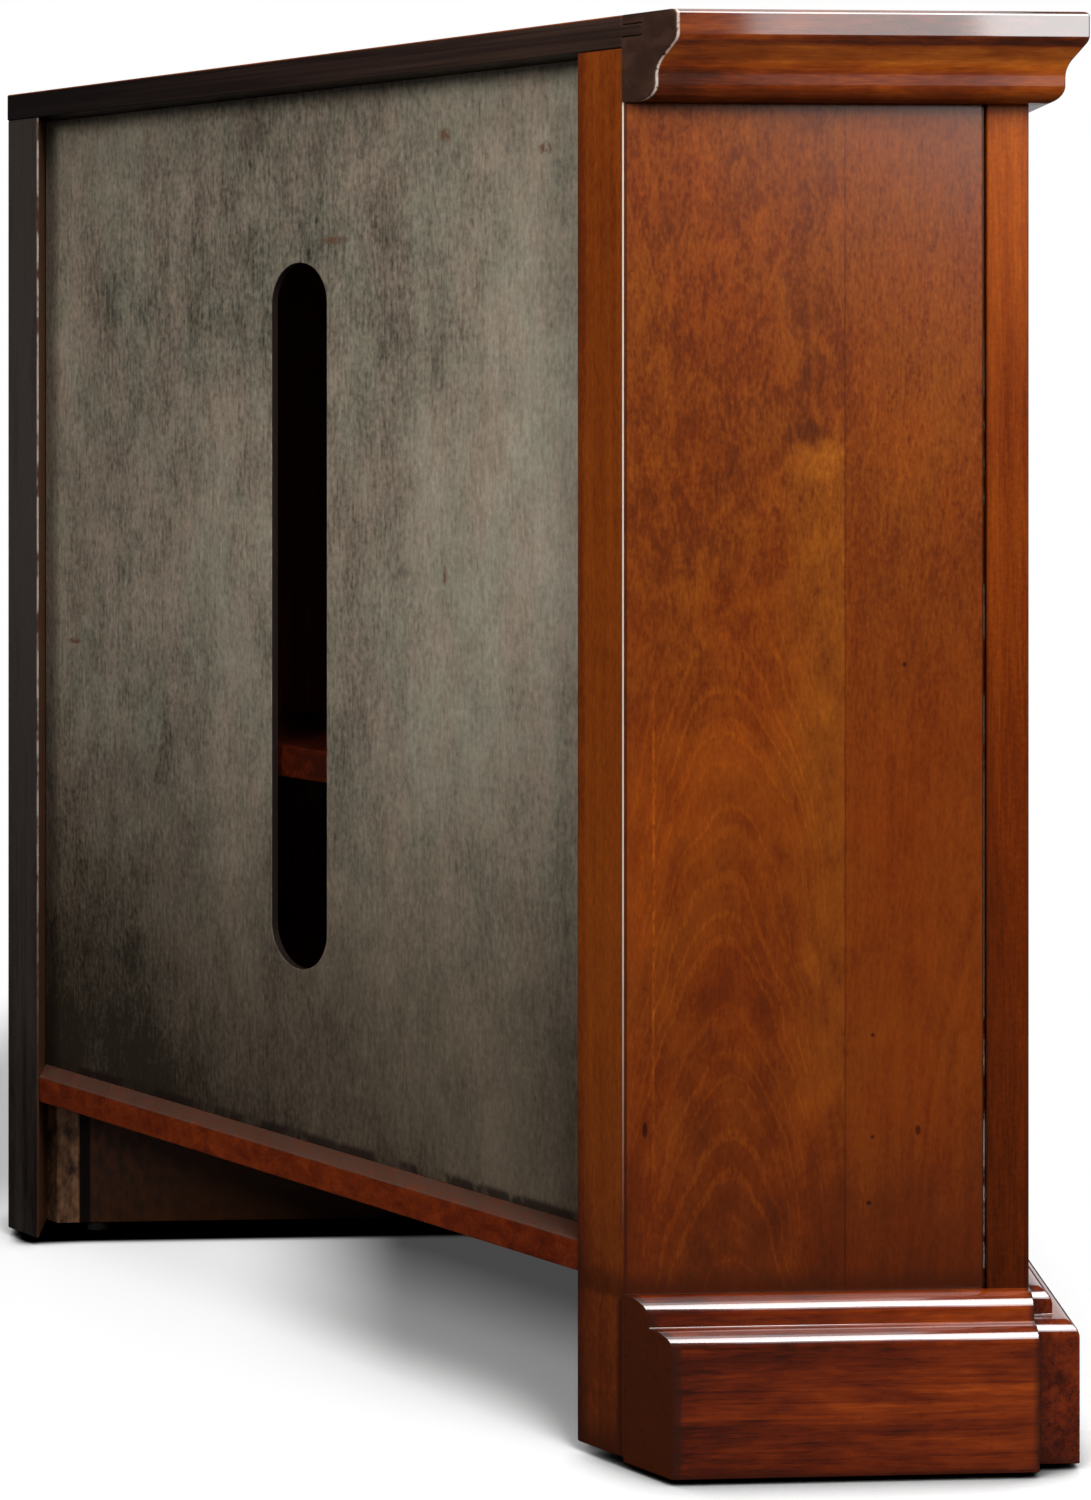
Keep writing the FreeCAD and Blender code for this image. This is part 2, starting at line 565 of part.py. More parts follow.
def build_carcass():
    """Sides, partitions, rear stiles, plywood backs and bottom boards."""
    pins = shelf_pin_places()
    hole = "sizes.pin_radius + sizes.pin_play"
    groove_x = f"{SIDE_INNER} + sizes.panel_groove"
    notch_x = f"{SIDE} - sizes.reveal_depth"
    notch_y = f"{FRAME_BACK} + sizes.reveal_width"
    plan = [
        (SIDE_INNER, FRAME_BACK),
        (notch_x, FRAME_BACK),
        (notch_x, notch_y),
        (SIDE, notch_y),
        (SIDE, CORNER),
        (SIDE_INNER, f"{BACK_SUM} - {SIDE_INNER}"),
        (SIDE_INNER, f"{GROOVE_OUTER_SUM} - {SIDE_INNER}"),
        (groove_x, f"{GROOVE_OUTER_SUM} - ({groove_x})"),
        (groove_x, f"{GROOVE_INNER_SUM} - ({groove_x})"),
        (SIDE_INNER, f"{GROOVE_INNER_SUM} - {SIDE_INNER}"),
    ]
    side = prism("side_panel", "XY_Plane", [plan], UPRIGHT, z="sizes.glide_height")
    level = f"{PIN_LEVEL} - sizes.glide_height"
    circles = [(y, level, hole) for y in pins["side"]]
    add_holes(side, "side_pin", "YZ_Plane", SIDE_INNER, circles, "sizes.pin_depth", forward=True)
    pair("side_panel", side)

    bevel_y = f"{GROOVE_INNER_SUM} - {PARTITION_OUTER}"
    plan = [
        (PARTITION_INNER, FRAME_BACK),
        (PARTITION_OUTER, FRAME_BACK),
        (PARTITION_OUTER, bevel_y),
        (f"{GROOVE_INNER_SUM} - {STILE_INNER}", STILE_INNER),
        (PARTITION_INNER, STILE_INNER),
    ]
    partition = prism("partition", "XY_Plane", [plan], UPRIGHT, z="sizes.glide_height")
    circles = [(y, level, hole) for y in pins["partition_outer"]]
    add_holes(partition, "outer_pin", "YZ_Plane", PARTITION_OUTER, circles, "sizes.pin_depth", forward=False)
    circles = [(y, level, hole) for y in pins["partition_inner"]]
    add_holes(partition, "inner_pin", "YZ_Plane", PARTITION_INNER, circles, "sizes.pin_depth", forward=True)
    pair("partition", partition)

    stile_end = f"{BACK_X} - sizes.back_stile_width"
    plan = [
        (stile_end, STILE_INNER),
        (f"{BACK_SUM} - {STILE_INNER}", STILE_INNER),
        (BACK_X, REAR),
        (stile_end, REAR),
    ]
    pair("back_stile", prism("back_stile", "XY_Plane", [plan], UPRIGHT, z="sizes.glide_height"))

    start_x = f"({SIDE_INNER} + sizes.panel_groove - sizes.joint_play - sizes.panel_thickness / sqrt(2))"
    end_x = f"({PARTITION_OUTER} + sizes.joint_play - sizes.panel_thickness / sqrt(2))"
    length = f"({start_x} - {end_x}) * sqrt(2)"
    seen_middle = f"({SIDE_INNER} + {PARTITION_OUTER}) / 2"
    middle = f"(({start_x} + sizes.panel_thickness / sqrt(2) - {seen_middle}) * sqrt(2) + sizes.slot_offset)"
    loops = [rectangle("0", "0", length, PANEL_HEIGHT), slot_loop(middle, f"{PANEL_HEIGHT} / 2")]
    panel = prism(
        "back_panel",
        "XZ_Plane",
        loops,
        "sizes.panel_thickness",
        x=start_x,
        y=f"{PANEL_INNER_SUM} - {start_x}",
        z="sizes.bottom_level",
        turn=(Vector(0, 0, 1), 135),
    )
    pair("back_panel", panel)
    loops = [
        rectangle(f"-{PARTITION_INNER}", "0", PARTITION_INNER, PANEL_HEIGHT),
        slot_loop("0", f"{PANEL_HEIGHT} / 2"),
    ]
    panel = prism(
        "back_panel_center", "XZ_Plane", loops, "sizes.panel_thickness", y=STILE_INNER, z="sizes.bottom_level"
    )
    node("back_panel_center", panel)

    bottom_z = "sizes.bottom_level - sizes.bottom_thickness"
    edge_sum = f"({BACK_SUM} - sizes.bottom_setback * sqrt(2))"
    plan = [
        (PARTITION_OUTER, FRAME_BACK),
        (SIDE_INNER, FRAME_BACK),
        (SIDE_INNER, f"{edge_sum} - {SIDE_INNER}"),
        (f"{edge_sum} - {STILE_INNER}", STILE_INNER),
        (PARTITION_OUTER, STILE_INNER),
    ]
    pair("bottom", prism("bottom", "XY_Plane", [plan], "sizes.bottom_thickness", z=bottom_z))
    plan = [
        (PARTITION_INNER, FRAME_BACK),
        (PARTITION_INNER, STILE_INNER),
        (stile_end, STILE_INNER),
        (stile_end, f"{REAR} - sizes.bottom_setback"),
    ]
    centre = prism("bottom_center", "XY_Plane", [both_halves(plan)], "sizes.bottom_thickness", z=bottom_z)
    node("bottom_center", centre)


def build_face_frame():
    """Front posts, mullions and rails."""
    stile = board(
        "frame_stile",
        OPENING_RIGHT,
        FRONT,
        "sizes.glide_height",
        "sizes.frame_stile_width",
        "sizes.frame_thickness",
        UPRIGHT,
    )
    pair("frame_stile", stile)
    mullion = board(
        "frame_mullion",
        PARTITION_INNER,
        FRONT,
        "sizes.sill_level",
        "sizes.mullion_width",
        "sizes.frame_thickness",
        f"{HEAD} - sizes.sill_level",
    )
    pair("frame_mullion", mullion)
    for label, low, high in (
        ("frame_bottom_rail", "sizes.sill_foot", "sizes.sill_level"),
        ("frame_top_rail", HEAD, TOP_UNDER),
    ):
        span = f"2 * {OPENING_RIGHT}"
        rail = board(label, f"-{OPENING_RIGHT}", FRONT, low, span, "sizes.frame_thickness", f"{high} - {low}")
        node(label, rail)


def round_front(shelf, name):
    """The upper and lower front edges of a shelf, rounded."""
    doc.recompute()
    front = shelf.Tip.Shape.BoundBox.YMin

    def along_front(edge):
        box = edge.BoundBox
        return abs(box.YMax - front) < 0.01 and box.ZLength < 0.01

    dress_edges(shelf, name, along_front, radius="sizes.shelf_round")


def build_shelves():
    """Loose shelves and the pins that they lie on."""
    play = "sizes.shelf_play"
    front = f"{FRAME_BACK} + sizes.shelf_setback"
    rear_sum = f"({PANEL_INNER_SUM} - sizes.shelf_rear_play * sqrt(2))"
    left = f"({PARTITION_OUTER} + {play})"
    right = f"({SIDE_INNER} - {play})"
    plan = [(left, front), (right, front), (right, f"{rear_sum} - {right}"), (left, f"{rear_sum} - {left}")]
    shelf = prism("shelf", "XY_Plane", [plan], "sizes.shelf_thickness", z=SHELF_UNDER)
    round_front(shelf, "shelf_nosing")
    pair("shelf", shelf)
    half = f"({PARTITION_INNER} - {play})"
    front = f"({FRAME_BACK} + sizes.shelf_setback + sizes.pin_inset)"
    rear = f"({STILE_INNER} - sizes.panel_thickness - sizes.shelf_rear_play)"
    plan = rectangle(f"-{half}", front, half, rear)
    shelf = prism("shelf_center", "XY_Plane", [plan], "sizes.shelf_thickness", z=SHELF_UNDER)
    round_front(shelf, "centre_nosing")
    node("shelf_center", shelf)

    places = shelf_pin_places()
    faces = [
        ("side", f"{SIDE_INNER} - sizes.pin_reach"),
        ("partition_outer", f"{PARTITION_OUTER} - sizes.pin_depth"),
        ("partition_inner", f"{PARTITION_INNER} - sizes.pin_reach"),
    ]
    length = "sizes.pin_reach + sizes.pin_depth"
    pins = []
    for face, start in faces:
        for y in places[face]:
            for x in (start, f"-({start}) - ({length})"):
                across = (Vector(0, 1, 0), 90)
                pins.append(rod("shelf_pin", "sizes.pin_radius", length, x, y, PIN_LEVEL, across))
    node("shelf_pins", group("shelf_pins", pins))


def build_glides():
    """Round glides under the side panels, the front posts and both ends of each partition."""
    partition_x = f"({PARTITION_OUTER} - sizes.partition_thickness / 2)"
    spots = [
        (f"({SIDE} - sizes.side_thickness / 2)", f"{CORNER} - 2 * sizes.side_thickness"),
        (f"({SIDE} - sizes.frame_stile_width / 2)", f"{FRONT} + sizes.frame_thickness / 2"),
        (partition_x, f"{FRAME_BACK} + 2 * sizes.partition_thickness"),
        (partition_x, f"{STILE_INNER} - 2 * sizes.partition_thickness"),
    ]
    glides = []
    for x, y in spots:
        for sign in ("", "-"):
            glides.append(rod("glide", "sizes.glide_radius", "sizes.glide_height", f"{sign}{x}", y, "0"))
    node("foot_glides", group("foot_glides", glides))


def door_stile(name, edge, rabbet, outer):
    """A door stile: a board with a step behind for the glass, and mortises for both rails."""
    plan = [
        (edge, FRONT),
        (outer, FRONT),
        (outer, DOOR_BACK),
        (rabbet, DOOR_BACK),
        (rabbet, GLASS_FRONT),
        (edge, GLASS_FRONT),
    ]
    stile = prism(name, "XY_Plane", [plan], DOOR_HEIGHT, z=DOOR_FOOT)
    sign = "+" if value(outer) > value(edge) else "-"
    blind = f"{rabbet} {sign} (sizes.tenon_length + sizes.joint_play)"
    play = "sizes.joint_play"
    low = f"(sizes.tenon_shoulder - {play})"
    high = f"(sizes.door_stile_width - sizes.tenon_shoulder - sizes.rabbet_width + {play})"
    doc.recompute()
    before = stile.Shape.Volume
    sketch = new_sketch(stile, f"{name}_mortises", "XZ_Plane", f"-({GLASS_FRONT})")
    add_loop(sketch, rectangle(rabbet, low, blind, high))
    add_loop(sketch, rectangle(rabbet, f"{DOOR_HEIGHT} - {high}", blind, f"{DOOR_HEIGHT} - {low}"))
    pocket = stile.newObject("PartDesign::Pocket", f"{name}_mortise_cut")
    pocket.Profile = sketch
    bind(pocket, "Length", f"sizes.tenon_thickness + {play}")
    doc.recompute()
    if stile.Shape.Volume > before - 1.0:
        raise ValueError(f"{name}: the mortises miss the wood")
    return stile


def door_rail(name, upward):
    """A door rail: front between the stiles' lips, back filling their steps, and a tenon at each end."""
    width = "sizes.door_stile_width"
    step = "sizes.rabbet_width"
    middle = f"(({STILE_EDGE_LEFT} + {STILE_EDGE_RIGHT}) / 2)"
    front_half = f"(({STILE_EDGE_RIGHT} - {STILE_EDGE_LEFT}) / 2)"
    back_half = f"({front_half} + {step})"
    tenon_half = f"({back_half} + sizes.tenon_length)"
    back_low, back_high = ("0", f"{width} - {step}") if upward else (step, width)
    tenon_low = f"{back_low} + sizes.tenon_shoulder"
    tenon_high = f"{back_high} - sizes.tenon_shoulder"
    rail = new_body(name)
    foot = DOOR_FOOT if upward else f"{DOOR_HEAD} - {width}"
    place(rail, middle, FRONT, foot)
    lip = "sizes.rabbet_front"
    back_depth = f"sizes.door_thickness - {lip}"
    loop = rectangle(f"-{front_half}", "0", front_half, width)
    add_pad(rail, f"{name}_front", "XZ_Plane", [loop], lip, f"-{lip}")
    loop = rectangle(f"-{back_half}", back_low, back_half, back_high)
    add_pad(rail, f"{name}_back", "XZ_Plane", [loop], back_depth, "-sizes.door_thickness")
    loop = rectangle(f"-{tenon_half}", tenon_low, tenon_half, tenon_high)
    tenon = "sizes.tenon_thickness"
    add_pad(rail, f"{name}_tenon", "XZ_Plane", [loop], tenon, f"-{lip} - {tenon}")
    return rail


def sticking_cut():
    """What the bevel round the glass takes from the four members of a door, mitred at the corners."""
    bevel = "sizes.sticking"
    reach = f"(sizes.door_stile_width - {bevel})"
    tool = new_body("sticking_tool")
    outline = rectangle(
        f"{DOOR_LEFT} + {reach}",
        f"{DOOR_FOOT} + {reach}",
        f"{DOOR_RIGHT} - {reach}",
        f"{DOOR_HEAD} - {reach}",
    )
    add_pad(tool, "sticking_block", "XZ_Plane", [outline], f"2 * {bevel}", f"-({FRONT} + {bevel})")
    doc.recompute()
    back = tool.Tip.Shape.BoundBox.YMax

    def round_the_back(edge):
        return abs(edge.BoundBox.YMin - back) < 0.01

    dress_edges(tool, "sticking_slope", round_the_back, bevel=bevel)
    return tool


def hinge_leaf(name, low, plate_left, knuckles):
    """One leaf of a butt hinge: a plate on the edge of the wood, and knuckles round the pin."""
    leaf = new_body(name)
    place(leaf, z=low)
    plate_right = f"{plate_left} + sizes.leaf_thickness"
    plate_front = f"({FRONT} - sizes.knuckle_play)"
    plate_back = f"({FRONT} + sizes.leaf_depth)"
    loop = rectangle(plate_left, plate_front, plate_right, plate_back)
    add_pad(leaf, f"{name}_plate", "XY_Plane", [loop], "sizes.hinge_length")
    wall = "(sizes.knuckle_radius + sizes.hinge_pin_radius) / 2"
    for index, (start, length) in enumerate(knuckles):
        loop = rectangle(plate_left, f"{HINGE_Y} + {wall}", plate_right, plate_front)
        add_pad(leaf, f"{name}_web{index}", "XY_Plane", [loop], length, start)
        sketch = new_sketch(leaf, f"{name}_ring{index}", "XY_Plane", start)
        add_circle(sketch, HINGE_X, HINGE_Y, "sizes.knuckle_radius")
        add_circle(sketch, HINGE_X, HINGE_Y, "sizes.hinge_pin_radius + sizes.hinge_pin_play")
        barrel = leaf.newObject("PartDesign::Pad", f"{name}_knuckle{index}")
        barrel.Profile = sketch
        bind(barrel, "Length", length)
    return leaf


def build_hinges():
    """Two butt hinges: leaves on the front post and on the door, and a pin with pointed tips."""
    third = "(sizes.hinge_length / 3)"
    play = "sizes.knuckle_play"
    end_knuckles = [("0", f"{third} - {play} / 2"), (f"2 * {third} + {play} / 2", f"{third} - {play} / 2")]
    middle_knuckle = [(f"{third} + {play} / 2", f"{third} - {play}")]
    half = "sizes.hinge_length / 2"
    lows = [
        f"({DOOR_FOOT} + sizes.hinge_inset - {half})",
        f"({DOOR_HEAD} - sizes.hinge_inset - {half})",
    ]
    frame_leaves = []
    door_leaves = []
    pins = []
    shank = "sizes.hinge_pin_radius"
    collar = "sizes.knuckle_radius"
    tip = "sizes.steeple_length"
    length = "sizes.hinge_length"
    gap = f"({play} / 2)"
    pin_outline = [
        ("0", f"-{gap} - {tip}"),
        (collar, f"-{gap}"),
        (shank, f"-{gap}"),
        (shank, f"{length} + {gap}"),
        (collar, f"{length} + {gap}"),
        ("0", f"{length} + {gap} + {tip}"),
    ]
    for index, low in enumerate(lows):
        frame_plate = f"{OPENING_RIGHT} - sizes.leaf_thickness"
        frame_leaves.append(hinge_leaf(f"frame_leaf{index}", low, frame_plate, end_knuckles))
        door_leaves.append(hinge_leaf(f"door_leaf{index}", low, DOOR_RIGHT, middle_knuckle))
        upright = (Vector(1, 0, 0), 90)
        pins.append(revolved(f"hinge_pin{index}", pin_outline, HINGE_X, HINGE_Y, low, upright))
    pair("hinge_frame_leaves", group("hinge_frame_leaves", frame_leaves))
    pair("door_hinge_leaves", group("door_hinge_leaves", door_leaves))
    pair("hinge_pins", group("hinge_pins", pins))


def knob_head():
    """The knob's head: a many-sided disc, bevelled behind and domed in front by two bevels."""
    radius, length = "sizes.knob_radius", "sizes.knob_length"
    head = new_body("knob_head")
    place(head, KNOB_X, f"{FRONT} - {length} * (1 - {KNOB_HEAD_SHARE})", KNOB_LEVEL, TO_FRONT)
    disc = head.newObject("PartDesign::AdditivePrism", "knob_disc")
    disc.Polygon = KNOB_FACETS
    bind(disc, "Circumradius", radius)
    bind(disc, "Height", f"{length} * {KNOB_HEAD_SHARE}")
    doc.recompute()
    back, front = disc.Shape.BoundBox.ZMin, disc.Shape.BoundBox.ZMax

    def back_rim(edge):
        return edge.BoundBox.ZMax < back + 0.01

    def front_rim(edge):
        return edge.BoundBox.ZMin > front - 0.01

    dress_edges(head, "knob_underside", back_rim, bevel=f"{radius} * {KNOB_BACK_BEVEL}")
    dress_edges(head, "knob_shoulder", front_rim, bevel=f"{radius} * {KNOB_FRONT_BEVEL}")
    dress_edges(head, "knob_dome", front_rim, bevel=f"{radius} * {KNOB_CROWN_BEVEL}")
    return head


def build_knob():
    """The door's mushroom knob, and the screw through the lock stile that holds it."""
    radius, length = "sizes.knob_radius", "sizes.knob_length"
    foot_radius = f"{radius} * {KNOB_FOOT_RADIUS_SHARE}"
    foot_length = f"{length} * {KNOB_FOOT_LENGTH_SHARE}"
    neck_radius = f"{radius} * {KNOB_NECK_SHARE}"
    neck_length = f"{length} * {KNOB_NECK_LENGTH_SHARE}"
    knob = doc.addObject("Part::MultiFuse", "knob")
    knob.Shapes = [
        rod("knob_foot", foot_radius, foot_length, KNOB_X, FRONT, KNOB_LEVEL, TO_FRONT),
        rod("knob_neck", neck_radius, neck_length, KNOB_X, FRONT, KNOB_LEVEL, TO_FRONT),
        knob_head(),
    ]
    shank = "sizes.knob_screw_radius"
    bore_length = f"{length} * {KNOB_BORE_SHARE}"
    bore_radius = f"{shank} + sizes.joint_play / 2"
    bore = rod("knob_bore", bore_radius, bore_length, KNOB_X, FRONT, KNOB_LEVEL, TO_FRONT)
    pair("door_knob", cut_away("door_knob", knob, bore))
    shank_length = f"sizes.door_thickness + {length} * {KNOB_SCREW_SHARE}"
    shaft = rod("screw_shaft", shank, shank_length, KNOB_X, DOOR_BACK, KNOB_LEVEL, TO_FRONT)
    head = rod("screw_head", f"{shank} * 2", shank, KNOB_X, f"{DOOR_BACK} + {shank}", KNOB_LEVEL, TO_FRONT)
    screw = doc.addObject("Part::MultiFuse", "door_knob_screw")
    screw.Shapes = [shaft, head]
    pair("door_knob_screw", screw)


def build_doors():
    """The framed glass door, its knob and its catch."""
    bevel = sticking_cut()
    hinged = door_stile("hinge_stile", STILE_EDGE_RIGHT, RABBET_RIGHT, DOOR_RIGHT)
    pair("door_hinge_stile", cut_away("door_hinge_stile", hinged, bevel))
    lock = door_stile("lock_stile", STILE_EDGE_LEFT, RABBET_LEFT, DOOR_LEFT)
    hole = [(KNOB_X, f"{KNOB_LEVEL} - {DOOR_FOOT}", "sizes.knob_screw_radius + sizes.joint_play")]
    add_holes(lock, "knob", "XZ_Plane", f"-({FRONT})", hole, "sizes.door_thickness", forward=False)
    pair("door_lock_stile", cut_away("door_lock_stile", lock, bevel))
    pair("door_bottom_rail", cut_away("door_bottom_rail", door_rail("bottom_rail", upward=True), bevel))
    pair("door_top_rail", cut_away("door_top_rail", door_rail("top_rail", upward=False), bevel))

    glass_low = f"({DOOR_FOOT} + sizes.door_stile_width - sizes.rabbet_width)"
    glass_high = f"({DOOR_HEAD} - sizes.door_stile_width + sizes.rabbet_width)"
    play = "sizes.glass_play"
    glass = board(
        "door_glass",
        f"{RABBET_LEFT} + {play}",
        GLASS_FRONT,
        f"{glass_low} + {play}",
        f"{RABBET_RIGHT} - {RABBET_LEFT} - 2 * {play}",
        "sizes.glass_thickness",
        f"{glass_high} - {glass_low} - 2 * {play}",
    )
    pair("door_glass", glass)
    bead_front = f"{GLASS_FRONT} + sizes.glass_thickness"
    bead_depth = "sizes.door_thickness - sizes.rabbet_front - sizes.glass_thickness"
    bead = "sizes.rabbet_width"
    tall = f"{glass_high} - {glass_low}"
    wide = f"{RABBET_RIGHT} - {RABBET_LEFT} - 2 * {bead}"
    between = f"{RABBET_LEFT} + {bead}"
    beads = [
        board("glass_bead", RABBET_LEFT, bead_front, glass_low, bead, bead_depth, tall),
        board("glass_bead", f"{RABBET_RIGHT} - {bead}", bead_front, glass_low, bead, bead_depth, tall),
        board("glass_bead", between, bead_front, glass_low, wide, bead_depth, bead),
        board("glass_bead", between, bead_front, f"{glass_high} - {bead}", wide, bead_depth, bead),
    ]
    pair("door_glass_beads", group("door_glass_beads", beads))

    build_knob()

    catch_x = f"{STILE_EDGE_LEFT} + sizes.joint_play"
    catch_low = f"({HEAD} - sizes.catch_drop)"
    catch_width = "sizes.catch_width"
    catch_depth = "sizes.catch_depth"
    catch_height = "sizes.catch_height"
    catch = board("door_catch", catch_x, FRAME_BACK, catch_low, catch_width, catch_depth, catch_height)
    pair("door_catch", catch)
    plate_height = "(sizes.catch_drop - 2 * sizes.door_play)"
    plate_depth = "sizes.strike_thickness"
    plate = board("door_strike", catch_x, DOOR_BACK, catch_low, catch_width, plate_depth, plate_height)
    pair("door_strike", plate)


build_top()
build_base()
build_carcass()
build_face_frame()
build_shelves()
build_glides()
build_hinges()
build_doors()
doc.recompute()

failed = [item.Name for item in doc.Objects if "Invalid" in item.State or "Error" in item.State]
if failed:
    raise ValueError(f"not built: {failed}")
for label, piece in parts.items():
    if piece.Shape.isNull() or not piece.Shape.isValid() or not piece.Shape.Solids:
        raise ValueError(f"{label}: no valid solid")

os.makedirs("parts", exist_ok=True)
for label, piece in parts.items():
    piece.Shape.exportStep(f"parts/{label}.step")
print(f"{len(parts)} pieces")
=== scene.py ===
import json
import math

import bmesh
import bpy
from bpy.props import FloatProperty, FloatVectorProperty, IntProperty, PointerProperty
from mathutils import Matrix, Vector

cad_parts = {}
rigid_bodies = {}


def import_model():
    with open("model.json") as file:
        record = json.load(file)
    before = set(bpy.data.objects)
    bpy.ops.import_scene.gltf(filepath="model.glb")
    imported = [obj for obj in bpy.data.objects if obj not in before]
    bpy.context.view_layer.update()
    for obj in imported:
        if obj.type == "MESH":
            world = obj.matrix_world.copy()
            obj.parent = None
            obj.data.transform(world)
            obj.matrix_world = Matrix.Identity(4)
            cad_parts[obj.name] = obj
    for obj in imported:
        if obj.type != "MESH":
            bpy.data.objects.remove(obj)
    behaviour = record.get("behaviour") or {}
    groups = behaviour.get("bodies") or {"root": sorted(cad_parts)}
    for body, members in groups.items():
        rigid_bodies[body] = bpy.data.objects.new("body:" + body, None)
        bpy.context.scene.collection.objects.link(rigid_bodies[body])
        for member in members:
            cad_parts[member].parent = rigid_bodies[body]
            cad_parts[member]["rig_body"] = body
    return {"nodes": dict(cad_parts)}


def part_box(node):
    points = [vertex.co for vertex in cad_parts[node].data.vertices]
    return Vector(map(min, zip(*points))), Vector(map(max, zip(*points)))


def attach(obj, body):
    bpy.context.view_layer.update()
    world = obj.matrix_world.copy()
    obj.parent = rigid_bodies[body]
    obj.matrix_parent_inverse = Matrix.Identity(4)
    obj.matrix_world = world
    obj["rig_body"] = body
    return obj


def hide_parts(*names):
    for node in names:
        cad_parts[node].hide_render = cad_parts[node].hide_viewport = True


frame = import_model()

bl_info = {
    "name": "Corner Television Stand",
    "version": (1, 0, 0),
    "blender": (4, 5, 0),
    "location": "View3D > Sidebar > Corner Stand",
    "description": "Eases a cherry corner stand, adds its hardware and sets its stage",
    "category": "Object",
}

SIDES = ("left", "right")
BAYS = ("left", "center", "right")


def metres(name, description, default):
    """A length property, in metres."""
    return FloatProperty(name=name, description=description, default=default, unit="LENGTH")


def lamp_power(name, description, default):
    """A lamp's power, in watts."""
    return FloatProperty(name=name, description=description, default=default, unit="POWER")


def colour(name, description, default):
    """A colour property, linear red, green and blue."""
    return FloatVectorProperty(
        name=name,
        description=description,
        default=default,
        subtype="COLOR",
        size=3,
        min=0.0,
        max=1.0,
    )


class StandSizes(bpy.types.PropertyGroup):
    """Sizes of what is worked into the wood and metal of the stand."""

    wood_ease: metres("Wood ease", "Rounding along posts, panels and boards", 0.0009)
    moulding_ease: metres("Moulding ease", "Rounding along the crown and base", 0.0006)
    plywood_ease: metres("Plywood ease", "Rounding along the thin back panels", 0.0005)
    bead_ease: metres("Bead ease", "Rounding along the beads that hold the glass", 0.0025)
    hardware_ease: metres("Hardware ease", "Rounding along leaves, catches and strikes", 0.0002)
    hinge_length: metres("Hinge length", "Height of a hinge between the tips of its pin", 0.05)
    hole_pitch: metres("Hole pitch", "Between the holes for shelf pins", 0.032)
    screw_radius: metres("Screw radius", "Heads of the hinge screws", 0.0026)
    turning_steps: IntProperty(
        name="Turning steps", description="Faces round a turned piece", default=48, min=12
    )


class StandColours(bpy.types.PropertyGroup):
    """Colours of the stand's stains, metals and glass."""

    gold: colour("Gold", "Palest cherry", (0.31, 0.082, 0.008))
    amber: colour("Amber", "Middle tone of the cherry", (0.185, 0.040, 0.004))
    russet: colour("Russet", "Dark tone of the cherry", (0.095, 0.0165, 0.0028))
    umber: colour("Umber", "Darkest streaks of the cherry", (0.03, 0.0065, 0.0025))
    rear_brown: colour("Rear brown", "Stain on the rear edges", (0.033, 0.0175, 0.0125))
    rear_grey: colour("Rear grey", "Stain on the back posts", (0.036, 0.028, 0.0235))
    rear_dark: colour("Rear dark", "Dark stain on the rear edges", (0.010, 0.0055, 0.0045))
    ply_pale: colour("Plywood pale", "Pale fibres of the back panels", (0.34, 0.30, 0.24))
    ply_grey: colour("Plywood grey", "Middle tone of the back panels", (0.2, 0.17, 0.13))
    ply_dark: colour("Plywood dark", "Dark clouds of the back panels", (0.022, 0.0175, 0.0125))
    ply_brown: colour("Plywood brown", "Knots of the back panels", (0.085, 0.03, 0.012))
    # The ledge colour is dust with a painted sheen of light grazing the strip.
    ledge: colour("Ledge", "Dusty rear strip on the bottom boards", (0.07, 0.04, 0.028))
    # The tan of the partitions' rear strip below the bottom boards: bare wood, brightened as a
    # painted patch of light.
    raw_tan: colour("Raw tan", "Unstained wood below the bottom boards", (0.38, 0.18, 0.088))
    bronze: colour("Bronze", "Knobs and hinges", (0.16, 0.09, 0.05))
    steel: colour("Steel", "Screws, pins and strikes", (0.5, 0.5, 0.48))
    glass: colour("Glass", "Tint of the door glass", (0.5, 0.42, 0.34))
    plastic: colour("Plastic", "Catches and glides", (0.018, 0.015, 0.013))
    # A pale colour for painted highlights along eased edges.
    rubbed: colour("Rubbed", "Edges rubbed through to pale wood", (0.6, 0.52, 0.44))
    floor: colour("Floor", "Plain pale floor", (0.86, 0.86, 0.86))


class StandStage(bpy.types.PropertyGroup):
    """Camera, lamps and floor."""

    camera_place: FloatVectorProperty(
        name="Camera place",
        description="Where the camera stands",
        default=(-1.8381, 0.0331, 0.5289),
        subtype="TRANSLATION",
        unit="LENGTH",
    )
    camera_turn: FloatProperty(
        name="Camera turn",
        description="Heading of the camera away from +X",
        default=math.radians(-2.838),
        subtype="ANGLE",
        unit="ROTATION",
    )
    lens: FloatProperty(
        name="Lens", description="Focal length in millimetres", default=60.37, unit="CAMERA"
    )
    lens_rise: FloatProperty(
        name="Lens rise", description="Vertical shift of the lens", default=-0.2419
    )
    key_power: lamp_power("Key power", "Large softbox above the camera", 11.5)
    strip_power: lamp_power("Strip power", "Small softbox by the camera", 3.5)
    wash_power: lamp_power("Wash power", "Soft patch on the side panel", 3.5 / 3.6)
    overhead_power: lamp_power("Overhead power", "Softbox over the stand", 11.0)
    fill_power: lamp_power("Fill power", "Softbox behind the stand", 2.7)
    front_power: lamp_power("Front power", "Softboxes before the doors and at the far back", 14.0)
    room_light: FloatProperty(
        name="Room light", description="Strength of the room's even light", default=0.06, min=0.0
    )
    floor_reach: metres("Floor reach", "Half the width of the floor", 30.0)


